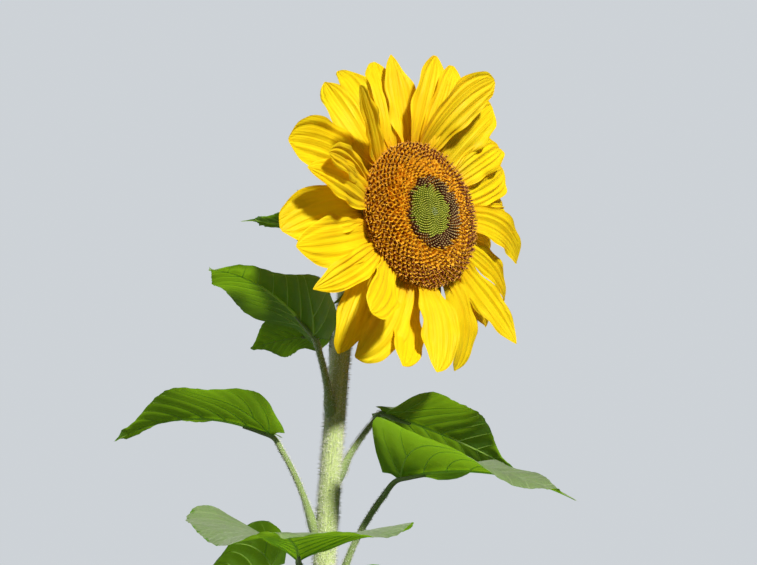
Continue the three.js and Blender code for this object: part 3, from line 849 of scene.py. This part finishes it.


# Upper side: its own grey-green, made paler as painted sheen on top of the shader's real sheen.
blade_top_painted_sheen = blade_material(
    "blade_upper_side_painted_sheen", (0.16, 0.23, 0.1), (0.22, 0.31, 0.14), (0.4, 0.48, 0.27),
    through=(0.85, 1, 0.4), roughness=0.5, sheen=0.5, share=0.5, vein_share=0.7, vein_width=0.0011,
)
# Underside: painted dark green for shade, darker than the leaf's own paler underside; light gets through
# it.
blade_under_painted_shade = blade_material(
    "blade_underside_painted_shade", (0.03, 0.065, 0.014), (0.05, 0.1, 0.024), (0.14, 0.23, 0.06),
    through=(0.6, 1, 0.04), roughness=0.65, sheen=0.05, share=0.6, vein_share=0.5, vein_width=0.0011,
)
vein_material = speckled(
    "leaf_vein", (0.2, 0.31, 0.09), (0.3, 0.42, 0.15), (60, 1300), 0.0002,
    roughness=0.55, through=(0.8, 1, 0.3), share=0.7,
)

for number, leaf in enumerate(leaves, 1):
    spine = blade_spine(leaf)
    s, x = blade_grid(leaf)
    v = np.linspace(-1, 1, BLADE_COLUMNS)[None]
    to_tip = np.linspace(0, 1, BLADE_ROWS)[:, None]
    thinner = np.minimum(1, 12 * (1 - to_tip)) * np.minimum(1, 0.3 + 12 * to_tip)
    depth = BLADE_THICKNESS / 2 * (1 - v**8) * thinner
    top = on_blade(leaf, spine, s, x, depth)
    under = on_blade(leaf, spine, s, x, -depth)
    count = BLADE_ROWS * BLADE_COLUMNS
    sheet = grid_faces(BLADE_ROWS, BLADE_COLUMNS)
    tube_points, tube_faces = vein_tubes(leaf, spine)
    place = rows_of_three(np.abs(x) / (leaf["width"] / 2), s, leaf["length"])
    make_piece(
        f"leaf_blade_{number:02d}",
        np.concatenate([top, under, tube_points]),
        [np.concatenate([sheet, count + sheet[:, ::-1], 2 * count + tube_faces])],
        [blade_top_painted_sheen, blade_under_painted_shade, vein_material],
        replaced=[f"blade_{number:02d}"],
        kinds=np.repeat((0, 1, 2), (len(sheet), len(sheet), len(tube_faces))),
        facts={"leaf_place": np.concatenate([place, place, np.zeros_like(tube_points)])},
    )


# ---- Receptacle ----
# The head grows on a thick green cup that swells out of the neck. It is ribbed and downy, and its
# rim carries the bracts, the ray florets and the disc.

HEAD_SIDES = 96
CUP_PROFILE = np.array([
    (0.0088, -0.058), (0.0112, -0.052), (0.0155, -0.0485), (0.024, -0.0455), (0.037, -0.0405),
    (0.048, -0.034), (0.0545, -0.027), (0.057, -0.02), (0.055, -0.012),
])  # radius, and place in front of the disc's widest circle
CUP_RIBS = 32
CUP_ROWS = 50

head_right = unit(np.cross((0, 0, 1), head_facing))
head_axes = np.stack([head_right, np.cross(head_facing, head_right), head_facing])


def on_head(points):
    """Points given as right, up and forward from the disc's middle, in the plant's frame."""
    return HEAD_CENTRE + points @ head_axes


def lathe(profile, rows, sides, ripple=0.0):
    """Rings of points turned about the head's axis from a profile of radius and place."""
    share = np.linspace(0, 1, rows)
    radius, place = smooth(np.linspace(0, 1, len(profile)), profile, share).T
    turns = even_turns(sides)
    radius = radius[:, None] * (1 + ripple * np.cos(CUP_RIBS * turns) * np.sin(np.pi * share)[:, None])
    return turned(radius, turns, place[:, None])


cup_material = speckled(
    "receptacle_skin", (0.13, 0.24, 0.05), (0.24, 0.37, 0.1), (70, 1400), 0.0004,
    roughness=0.6, sheen=0.25,
)

cup = lathe(CUP_PROFILE, CUP_ROWS, HEAD_SIDES, ripple=0.012)
make_piece(
    "flower_cup",
    on_head(cup),
    limb_faces(CUP_ROWS, HEAD_SIDES),
    [cup_material],
    replaced=["receptacle"],
)


# ---- Bracts ----
# Three rows of pointed green bracts wrap the cup's rim behind the ray florets. Each is a broad leafy
# scale that narrows to a long tip, and the outer ones bend back.

BRACT_ROWS = (  # count, root radius, place, length, width, tilt, curl
    (15, 0.0535, -0.0235, 0.056, 0.022, -8, -26),
    (14, 0.051, -0.0295, 0.06, 0.021, -2, -60),
    (12, 0.0425, -0.0375, 0.058, 0.019, 2, -62),
)
BRACT_WIDTHS = np.array([
    (0, 0.8), (0.12, 1), (0.3, 0.95), (0.5, 0.7), (0.7, 0.38), (0.85, 0.16), (1, 0),
])
BRACT_THICKNESS = 0.0011
BRACT_COLUMNS = 9
STRAP_ROWS = 46


def strap(clock, root_radius, place, length, tilt, curl, sweep, twist=0.0, tip_curl=0.0):
    """Middle, way right and way out of a strap-shaped floret or bract, from its root on the head.
    The clock angle runs clockwise from the top; a tilt leans forward, and a curl adds to it."""
    s = np.linspace(0, 1, STRAP_ROWS)[:, None]
    clock = math.radians(clock)
    out = np.array([math.sin(clock), math.cos(clock), 0])
    round_head = np.array([out[1], -out[0], 0])
    lean = np.radians(tilt + curl * s + tip_curl * s**4)
    bend = np.radians(2 * sweep * s)
    ahead = (
        np.cos(bend) * np.cos(lean) * out
        + np.cos(bend) * np.sin(lean) * np.array([0, 0, 1])
        + np.sin(bend) * round_head
    )
    middle = out * root_radius + (0, 0, place) + walked(ahead, length)
    side = unit(round_head - (ahead @ round_head)[:, None] * ahead)
    normal = np.cross(side, ahead)
    turn = np.radians(twist) * s**1.5
    return (
        s, middle,
        side * np.cos(turn) + normal * np.sin(turn),
        normal * np.cos(turn) - side * np.sin(turn),
    )


def strap_sheets(middle, side, normal, x, lift, depth):
    """Both faces of a strap, as points and faces, and the distance across at each point."""
    rows, columns = x.shape
    middle, side, normal = (a[:, None] for a in (middle, side, normal))
    front, back = (
        middle + side * x[..., None] + normal * (lift + sign * depth)[..., None] for sign in (1, -1)
    )
    sheet = grid_faces(rows, columns)
    points = np.concatenate([front.reshape(-1, 3), back.reshape(-1, 3)])
    return points, np.concatenate([sheet, rows * columns + sheet[:, ::-1]])


def joined(parts):
    """One array of points and one of faces from a list of (points, faces)."""
    firsts = np.cumsum([0] + [len(points) for points, _ in parts])
    faces = np.concatenate([first + f for first, (_, f) in zip(firsts, parts)])
    return np.concatenate([points for points, _ in parts]), faces


bract_material, tree, surface = new_tissue(
    "bract_green", roughness=0.55, sheen=0.25, through=(0.2, 0.42, 0.03), share=0.25
)
streaks = place_group(tree, fibres, Across=900.0, Along=25.0)
patches = place_group(tree, mottle, Patches=90.0, Specks=1500.0)
green = blend(tree, streaks["Streak"], (0.09, 0.19, 0.03), (0.2, 0.34, 0.07))
feed(tree, surface.inputs["Base Color"], green)
add_relief(tree, surface, maths(tree, "ADD", streaks["Streak"], patches["Speck"]), 0.0003)

bracts, bract_grain = [], []
v = np.linspace(-1, 1, BRACT_COLUMNS)[None]
for count, root_radius, place, length, width, tilt, curl in BRACT_ROWS:
    for k in range(count):
        vary = chance.uniform(-1, 1, 6)
        clock = 360 * (k + 0.5 * (count == BRACT_ROWS[1][0])) / count + 5 * vary[0]
        long = length * (1 + 0.14 * vary[1])
        s, middle, side, normal = strap(
            clock, root_radius, place, long, tilt=tilt + 5 * vary[2], curl=curl + 16 * vary[3],
            sweep=9 * vary[4], twist=25 * vary[5],
        )
        half = width / 2 * np.maximum(smooth(*BRACT_WIDTHS.T, s), 0)
        x = half * v
        lift = 0.12 * x**2 / np.maximum(half, 0.001) + 0.0005 * np.cos(3 * np.pi * v) * (1 - s)
        depth = BRACT_THICKNESS / 2 * (1 - v**4) * np.minimum(1, 10 * (1 - s))
        bracts.append(strap_sheets(middle, side, normal, x, lift, depth))
        grain_here = rows_of_three(x, 0, s * long)
        bract_grain += [grain_here, grain_here]
points, faces = joined(bracts)
make_piece("bracts", on_head(points), [faces], [bract_material],
           facts={"grain": np.concatenate(bract_grain)})


# ---- Disc ----
# The disc is a low dome packed with tube florets in spirals. Those at the rim are open, with brown
# anther tubes and curled tan stigmas. A band of orange ones follows, then a ring of dark buds, and
# in the middle a green heart of young buds.

DISC_RADIUS = 0.0665
DISC_HEIGHT = 0.017
DISC_EDGE = 0.003
DOME_POWER = 2.4
FLORET_ROOM = np.array([
    (0, 2.6e-6), (0.012, 3.9e-6), (0.024, 5.4e-6), (0.034, 10e-6), (0.046, 16e-6), (0.0665, 17e-6),
])  # area of the disc for each floret, by distance from the middle
GOLDEN_ANGLE = math.pi * (3 - math.sqrt(5))
CENTRE_END = 0.0038
DARK_RING = (0.024, 0.0335)  # where the dark buds start and end
DARK_RING_SHIFT = 0.0036  # how far in its inner edge lies on the right, and out on the left
DARK_RING_OUT = 0.7  # share of that by which its outer edge lies the other way
DARK_RING_BLUR = 0.0013
BUDS_END = 0.0365
BAND_END = 0.051
DISC_FLOOR_DEPTH = 0.0042  # under the florets' tops
DISC_FLOOR_ROWS = 56
RIM_ROWS = (  # radius, place, lean
    (0.0662, 0.0002, 0.8), (0.0658, -0.0038, 1.1), (0.0635, -0.0075, 1.6),
)


def dome(r):
    """Height of the florets' tops over the disc's widest circle, at distance r from the middle."""
    return DISC_HEIGHT - (DISC_HEIGHT - DISC_EDGE) * (r / DISC_RADIUS) ** DOME_POWER


def spiral():
    """Distance and turn of each floret, from the middle out."""
    r = np.linspace(1e-5, DISC_RADIUS, 4000)
    each = 2 * np.pi * r / np.interp(r, *FLORET_ROOM.T)
    counted = np.cumsum(each) * (r[1] - r[0])
    number = np.arange(int(counted[-1]))
    return np.interp(number + 0.5, counted, r), number * GOLDEN_ANGLE


def halved(quads):
    """Two triangles for each four-cornered face."""
    return np.concatenate([quads[:, [0, 1, 2]], quads[:, [0, 2, 3]]])


def spindle(sides, profile, scallop=0.0):
    """A small turned shape on the upright axis: its points and faces. A ring may be scalloped."""
    turns = even_turns(sides)
    radius, height = np.array(profile).T[..., None]
    last = np.arange(len(profile))[:, None] == len(profile) - 1
    height = height + scallop * last * np.cos(sides / 2 * turns)
    return turned(radius, turns, height), halved(grid_faces(len(profile), sides, around=True))


def curl_shape(turn, way):
    """One branch of a stigma: a thin three-sided horn that arches out and curls back under."""
    t = np.linspace(0, 1, 7)
    bend = turn * t
    steps = np.stack([np.sin(bend), 0 * t, np.cos(bend)], axis=-1) / 6
    path = summed(steps[:-1])
    path[:, 0] *= way
    turns = np.array([0, 2.1, 4.2])
    radii = (0.15 * (1 - 0.6 * t))[:, None] + 0 * turns
    return rings(path, (0, 1, 0), radii, turns), halved(grid_faces(7, 3, around=True))


def planted(shape, roots, axes, spins, sizes):
    """Copies of a shape standing on roots, each along its axis, spun about it and sized."""
    points, faces = shape
    first = unit(np.cross(axes, (0.3, 0.9, 0.1)))
    second = np.cross(axes, first)
    right = first * np.cos(spins)[:, None] + second * np.sin(spins)[:, None]
    up = np.cross(axes, right)
    sizes = np.broadcast_to(np.asarray(sizes, float).reshape(len(roots), -1), (len(roots), 3))
    local = points[None] * sizes[:, None]
    placed = (
        roots[:, None] + local[..., :1] * right[:, None] + local[..., 1:2] * up[:, None]
        + local[..., 2:] * axes[:, None]
    )
    firsts = (np.arange(len(roots)) * len(points))[:, None, None]
    return placed.reshape(-1, 3), (firsts + faces).reshape(-1, faces.shape[1])


def disc_stuff(name, dark, light, roughness, **tissue):
    """A material for one kind of the disc's small pieces."""
    return speckled(name, dark, light, (400, 3500), 0.0001, roughness=roughness, specular=0.35, **tissue)


heart_bud_green = disc_stuff("young_bud_green", (0.15, 0.2, 0.008), (0.25, 0.3, 0.012), 0.6)
heart_tip_green = disc_stuff("young_bud_tip", (0.75, 0.71, 0.08), (0.88, 0.84, 0.2), 0.5)
centre_tip_pale = disc_stuff("centre_tip_pale", (0.6, 0.66, 0.3), (0.78, 0.82, 0.5), 0.5)
bud_maroon = disc_stuff("closed_bud_maroon", (0.06, 0.012, 0.006), (0.12, 0.028, 0.01), 0.5)
scale_gold = disc_stuff("scale_tip_gold", (0.55, 0.42, 0.14), (0.72, 0.58, 0.26), 0.5)
corolla_orange = disc_stuff(
    "corolla_orange", (0.78, 0.37, 0.006), (0.92, 0.51, 0.012), 0.55,
    through=(0.9, 0.42, 0.01), share=0.2,
)
anther_brown = disc_stuff("anther_brown", (0.085, 0.012, 0.005), (0.2, 0.036, 0.009), 0.45)
stigma_tan = disc_stuff("stigma_tan", (0.68, 0.3, 0.025), (0.8, 0.42, 0.06), 0.5)
floor_orange = disc_stuff("disc_floor_orange", (0.3, 0.09, 0.006), (0.52, 0.2, 0.01), 0.8)

spiral_r, spiral_turn = spiral()
rows_r, rows_place, rows_lean, rows_turn = [], [], [], []
for radius, place, leaning in RIM_ROWS:
    count = int(2 * np.pi * radius / math.sqrt(FLORET_ROOM[-1, 1]))
    rows_turn.append(2 * np.pi * (np.arange(count) + 0.5 * len(rows_turn)) / count)
    rows_r.append(np.full(count, radius))
    rows_place.append(np.full(count, place))
    rows_lean.append(np.full(count, leaning))
floret_r = np.concatenate([spiral_r, *rows_r])
floret_turn = np.concatenate([spiral_turn, *rows_turn])
floret_place = np.concatenate([dome(spiral_r), *rows_place])
floret_out = turned(1, floret_turn, 0)
floret_size = np.sqrt(np.interp(floret_r, *FLORET_ROOM.T))
steepest = (DISC_HEIGHT - DISC_EDGE) * DOME_POWER / DISC_RADIUS
slope = steepest * (spiral_r / DISC_RADIUS) ** (DOME_POWER - 1)
towards_rim = np.clip((spiral_r - BAND_END) / (DISC_RADIUS - BAND_END), 0, 1)
lean = np.concatenate([1.1 * slope + 0.25 * towards_rim, *rows_lean])[:, None]
jitter = chance.normal(0, 1, (len(floret_r), 3))
calm = np.clip(floret_r / BAND_END, 0, 1)[:, None] ** 2
floret_axis = unit(floret_out * lean + (0, 0, 1) + 0.13 * calm * jitter)
floret_spin = chance.uniform(0, 2 * np.pi, len(floret_r))
floret_top = floret_out * floret_r[:, None] + (0, 0, 1) * floret_place[:, None]
floret_top = floret_top + floret_axis * (0.0006 * calm * chance.normal(0, 1, (len(floret_r), 1)))


def plant_florets(name, shape, where, drop, size, material, replaced=()):
    """Plants one kind of small piece in the florets that where picks. drop is how far their roots
    lie below their tops, and size scales them; both count in widths of the floret."""
    axes = floret_axis[where]
    wide = floret_size[where][:, None]
    roots = floret_top[where] - axes * drop * wide
    points, faces = planted(shape, roots, axes, floret_spin[where], wide * size)
    make_piece(name, on_head(points), [faces], [material], replaced)


ripeness = chance.uniform(0, 1, len(floret_r))
wider = DARK_RING_SHIFT * np.cos(floret_turn)
blurred_r = floret_r + DARK_RING_BLUR * jitter[:, 0]
heart = blurred_r < DARK_RING[0] - wider
centre = floret_r < CENTRE_END
dark = ~heart & (blurred_r < DARK_RING[1] + DARK_RING_OUT * wider)
orange_buds = (floret_r < BUDS_END) & ~heart & ~dark
band = (floret_r >= BUDS_END) & (floret_r < BAND_END) & ~dark
rim = floret_r >= BAND_END

floor_profile = [(0.0, DISC_HEIGHT - DISC_FLOOR_DEPTH)]
for r in np.linspace(0.008, DISC_RADIUS - 0.004, 10):
    floor_profile.append((r, dome(r) - DISC_FLOOR_DEPTH))
floor_profile += [(DISC_RADIUS - 0.002, -0.003), (DISC_RADIUS - 0.0045, -0.009), (0.052, -0.012)]
disc_floor = lathe(np.array(floor_profile), DISC_FLOOR_ROWS, HEAD_SIDES)
make_piece(
    "disc_floor",
    on_head(disc_floor),
    [grid_faces(DISC_FLOOR_ROWS, HEAD_SIDES, around=True)[:, ::-1]],
    [floor_orange],
    replaced=["disc"],
)

young_bud = spindle(7, [(0.4, 0), (0.45, 0.9), (0.38, 1.5), (0.2, 1.95), (0.0, 2.1)])
plant_florets("young_buds", young_bud, heart, 2.1, 1, heart_bud_green, ["disc_heart"])
young_tip = spindle(6, [(0.15, 0), (0.21, 0.16), (0.13, 0.34), (0.0, 0.42)])
plant_florets("young_bud_tips", young_tip, heart & ~centre, 0.3, 1, heart_tip_green)
plant_florets("centre_bud_tips", young_tip, centre, 0.3, 1.2, centre_tip_pale)

closed_bud = spindle(8, [(0.28, 0), (0.34, 0.9), (0.31, 1.5), (0.18, 1.95), (0.0, 2.2)])
plant_florets("closed_buds", closed_bud, dark, 1.75, 1, bud_maroon)
scale_tip = spindle(5, [(0.16, 0), (0.23, 0.2), (0.0, 0.55)])
plant_florets("scale_tips", scale_tip, dark, -0.25, 1, scale_gold)
plant_florets("orange_buds", closed_bud, orange_buds, 2.1, 1.1, corolla_orange)

corolla = spindle(10, [(0.26, 0), (0.36, 0.6), (0.46, 1.0), (0.68, 1.3)], scallop=0.16)
plant_florets("band_corollas", corolla, band, 1.15, 1, corolla_orange)
plant_florets("rim_corollas", corolla, rim, 1.45, 1, corolla_orange)
band_anther = spindle(7, [(0.12, 0), (0.15, 0.5), (0.14, 1.2), (0.07, 1.45), (0.0, 1.5)])
plant_florets("band_anther_tubes", band_anther, band & (ripeness < 0.62), 0.85, 1, anther_brown)
rim_anther = spindle(7, [(0.15, 0), (0.19, 0.5), (0.19, 1.15), (0.11, 1.4), (0.0, 1.48)])
plant_florets("rim_anther_tubes", rim_anther, rim, 0.8, 1, anther_brown)
stigma = joined([curl_shape(3.9, 1), curl_shape(3.4, -1)])
stigma_size = chance.uniform(0.7, 1.05, (rim.sum(), 1)) * (0.85, 0.85, 0.8)
plant_florets("stigmas", stigma, rim, -0.55, stigma_size, stigma_tan)


# ---- Ray florets ----
# The yellow rays stand in three overlapping rows on the cup's rim. Each is a thin strap that is
# narrow at its root, widest past its middle and pointed, with lengthwise folds; some lean forward,
# curl or twist. The rear rows glow orange where only light from behind reaches them.

RAY_ROOT_RADIUS = 0.0595
RAY_ROOT_PLACE = -0.0085
RAY_ROW_STEP = 0.0038
RAY_THICKNESS = 0.0006
RAY_COLUMNS = 29
RAY_POINTED = np.array([
    (0, 0.42), (0.08, 0.6), (0.2, 0.82), (0.38, 0.98), (0.55, 1),
    (0.72, 0.84), (0.86, 0.52), (0.95, 0.22), (1, 0.02),
])
RAY_ROUNDED = np.array([
    (0, 0.42), (0.08, 0.58), (0.2, 0.78), (0.38, 0.93), (0.55, 1),
    (0.72, 0.98), (0.86, 0.84), (0.95, 0.56), (1, 0.1),
])
RAY_FOLD = 0.0009
# By place on the head: clock angle, length, width, tilt, curl, sweep, row and roundness of tip.
RAYS = {
    "top": (
        (353, 0.110, 0.042, 33, -53, 14, 0, 0.1), (0, 0.113, 0.038, 41, -30, 29, 0, 0.9),
        (2, 0.112, 0.034, 44, -73, 12, 1, 0.3), (354, 0.096, 0.030, 3, -28, 10, 2, 0.4),
        (21, 0.107, 0.046, 37, -58, 15, 1, 0.7),
    ),
    "upper_right": (
        (42, 0.105, 0.033, 26, -56, 8, 0, 0.2), (59, 0.104, 0.036, 10, -34, -6, 0, 0.3),
        (67, 0.104, 0.026, 14, -52, 2, 1, 0.5), (77, 0.105, 0.038, 16, -48, 21, 0, 0.7),
    ),
    "right": (
        (84, 0.104, 0.026, -3, -41, 1, 2, 0.4), (99, 0.104, 0.030, 4, -29, 10, 1, 0.4),
        (118, 0.105, 0.032, -5, 23, 13, 0, 0.15),
    ),
    "lower_right": (
        (121, 0.101, 0.026, -1, -32, -7, 2, 0.4), (131, 0.101, 0.028, 1, -41, -7, 1, 0.4),
        (135, 0.099, 0.034, 17, -49, 23, 2, 0.7),
    ),
    "bottom": (
        (169, 0.100, 0.042, 35, -31, 15, 0, 0.4), (179, 0.103, 0.036, 3, 37, 18, 2, 0.3),
        (192, 0.105, 0.046, 11, -6, 19, 1, 0.5),
    ),
    "lower_left": (
        (212, 0.103, 0.034, 36, -6, 7, 0, 1), (216, 0.104, 0.037, 7, -9, -14, 2, 0.5),
        (227, 0.103, 0.028, 21, -27, 6, 0, 0.1),
    ),
    "left": (
        (240, 0.103, 0.047, 14, -10, 7, 1, 0.2), (261, 0.103, 0.046, 19, -32, -16, 2, 0.9),
        (269, 0.102, 0.036, 31, -16, -2, 0, 0.1),
    ),
    "upper_left": (
        (282, 0.102, 0.028, 32, -1, -14, 1, 0.5), (292, 0.103, 0.046, 11, -6, -20, 2, 1),
        (305, 0.104, 0.034, 12, -63, 22, 0, 0.1), (306, 0.102, 0.026, 30, 7, -9, 0, 0.4),
    ),
    "top_left": (
        (323, 0.116, 0.032, 12, -67, 15, 1, 0.1), (333, 0.109, 0.032, 13, -53, 19, 1, 0.4),
        (346, 0.098, 0.035, -2, -2, 0, 0, 0.1),
    ),
}

ray_material, tree, surface = new_tissue(
    "ray_yellow", roughness=0.55, specular=0.2, sheen=0.03, through=(0.98, 0.72, 0.03), share=0.5
)
streaks = place_group(tree, fibres, Across=800.0, Along=12.0)
patches = place_group(tree, mottle, Patches=45.0, Specks=1800.0)
root_share = tree.nodes.new("ShaderNodeAttribute")
root_share.attribute_name = "ray_share"
near_root = maths(tree, "SUBTRACT", 1.0, spread_out(tree, root_share.outputs["Fac"], 0.0, 0.3))
yellow = laid_over(
    tree, blend(tree, patches["Patch"], (0.92, 0.77, 0.004), (0.94, 0.87, 0.008)),
    (streaks["Streak"], 0.35, (0.84, 0.52, 0.004)), (near_root, 0.6, (0.86, 0.42, 0.004)),
)
feed(tree, surface.inputs["Base Color"], yellow)
add_relief(tree, surface, maths(tree, "ADD", streaks["Streak"], streaks["Broad"]), 0.0004, 0.8)


def ray(clock, length, width, tilt, curl, sweep, row, roundness):
    """One ray floret: its points, faces, grain and share of its length at each point."""
    vary = chance.uniform(-1, 1, 12)
    s, middle, side, normal = strap(
        clock, RAY_ROOT_RADIUS, RAY_ROOT_PLACE - RAY_ROW_STEP * row, length, tilt, curl, sweep,
        twist=10 * vary[0], tip_curl=-8 + 16 * vary[1],
    )
    v = np.linspace(-1, 1, RAY_COLUMNS)[None]
    outline = RAY_POINTED + roundness * (RAY_ROUNDED - RAY_POINTED)
    half = width / 2 * np.maximum(smooth(*outline.T, s), 0.02)
    body = np.sin(np.pi * np.clip(s, 0, 1)) ** 0.6
    cup = (0.14 + 0.1 * vary[2] + 0.35 * np.exp(-((s / 0.16) ** 2))) * half * v**2
    folds = RAY_FOLD * body * (
        np.cos((5.2 + 0.6 * vary[3]) * np.pi * v + 1.5 * vary[4])
        + 0.6 * np.cos((8.3 + vary[5]) * np.pi * v + 3 * vary[6] + 2 * s)
        + 1.6 * np.exp(-(((np.abs(v) - 0.3) / 0.11) ** 2))
    )
    sway = 0.1 * half * (v * np.sin(5 * s + 3 * vary[7]) + v**2 * np.sin(8 * s + 3 * vary[8]))
    ruffle = 0.0014 * np.abs(v) ** 3 * np.sin(21 * s + 3 * vary[9] + 1.7 * (v > 0)) * body
    lift = cup + folds + sway + ruffle
    x = half * v * (1 + 0.05 * np.sin(15 * s + 4 * vary[10] + (v > 0)) * v**2)
    depth = RAY_THICKNESS / 2 * (1 - v**6) * np.minimum(1, 12 * (1 - s))
    points, faces = strap_sheets(middle, side, normal, x, lift, depth)
    along = np.broadcast_to(s, x.shape)
    grain_here = rows_of_three(x, 0.1 * clock, along * length)
    return points, faces, np.tile(grain_here, (2, 1)), np.tile(along.ravel(), 2)


for place, rays in RAYS.items():
    made = [ray(*facts) for facts in rays]
    points, faces = joined([part[:2] for part in made])
    make_piece(
        f"ray_florets_{place}",
        on_head(points),
        [faces],
        [ray_material],
        replaced=[f"rays_{place}"],
        facts={
            "grain": np.concatenate([part[2] for part in made]),
            "ray_share": np.concatenate([part[3] for part in made]),
        },
    )


# ---- Setting ----
# A pale level floor under a plain pale surround, with a soft low sun in front on the right, and wide
# weak lights on the left and behind. Floor and surround look pale, but throw little light on the plant.

FLOOR_RADIUS = 4
FLOOR_SIDES = 96
FLOOR_GAP = 0.0005  # under the stem's foot

floor_mesh = bpy.data.meshes.new("floor")
floor_edge = turned(FLOOR_RADIUS, even_turns(FLOOR_SIDES), -FLOOR_GAP)
floor_mesh.from_pydata(floor_edge.tolist(), [], [list(range(FLOOR_SIDES))])
floor = bpy.data.objects.new("floor", floor_mesh)
bpy.context.scene.collection.objects.link(floor)
floor_material = bpy.data.materials.new("pale_floor")
floor_material.use_nodes = True
tree = floor_material.node_tree
floor_surface = tree.nodes["Principled BSDF"]
floor_surface.inputs["Roughness"].default_value = 0.8
looked_at = tree.nodes.new("ShaderNodeLightPath").outputs["Is Camera Ray"]
pale = blend(tree, looked_at, (0.12, 0.12, 0.12), (0.8, 0.8, 0.79))
feed(tree, floor_surface.inputs["Base Color"], pale)
floor_mesh.materials.append(floor_material)

KEY_WAY = direction(-65, 25)
FILL_WAY = direction(-132, 12)
BACK_WAY = direction(160, 8)
LIGHT_TARGET = np.array([0.05, -0.05, 1.3])
LIGHT_DISTANCE = 3


def soft_light(name, kind, way, power, colour):
    """A light that shines at the upper plant from a way."""
    lamp = bpy.data.lights.new(name, kind)
    lamp.energy = power
    lamp.color = colour
    holder = bpy.data.objects.new(name, lamp)
    bpy.context.scene.collection.objects.link(holder)
    spot = LIGHT_TARGET + LIGHT_DISTANCE * way
    holder.location = spot
    holder.rotation_euler = Vector(LIGHT_TARGET - spot).to_track_quat("-Z", "Y").to_euler()
    return lamp


soft_light("key", "SUN", KEY_WAY, 5.9, (1, 0.97, 0.9)).angle = math.radians(6.5)
soft_light("fill", "AREA", FILL_WAY, 5, (0.92, 0.96, 1)).size = 2.2
soft_light("back", "AREA", BACK_WAY, 30, (0.97, 0.98, 1)).size = 2.2

world = bpy.data.worlds.new("pale_surround")
bpy.context.scene.world = world
world.use_nodes = True
tree = world.node_tree
given_light = tree.nodes["Background"]
seen = tree.nodes.new("ShaderNodeBackground")
for shown, strength in ((given_light, 0.13), (seen, 0.85)):
    feed(tree, shown.inputs["Color"], (0.72, 0.76, 0.8))
    feed(tree, shown.inputs["Strength"], strength)
either = tree.nodes.new("ShaderNodeMixShader")
feed(tree, either.inputs[0], tree.nodes.new("ShaderNodeLightPath").outputs["Is Camera Ray"])
feed(tree, either.inputs[1], given_light.outputs[0])
feed(tree, either.inputs[2], seen.outputs[0])
feed(tree, tree.nodes["World Output"].inputs["Surface"], either.outputs[0])

camera = bpy.data.objects.new("camera", bpy.data.cameras.new("camera"))
bpy.context.scene.collection.objects.link(camera)
camera.location = (0.05392, -1.14082, 1.04494)
camera.rotation_euler = (math.radians(110), 0, 0)
camera.data.lens = 60
camera.data.sensor_width = 36
camera.data.clip_start = 0.01
bpy.context.scene.camera = camera
bpy.context.scene.view_settings.view_transform = "Standard"
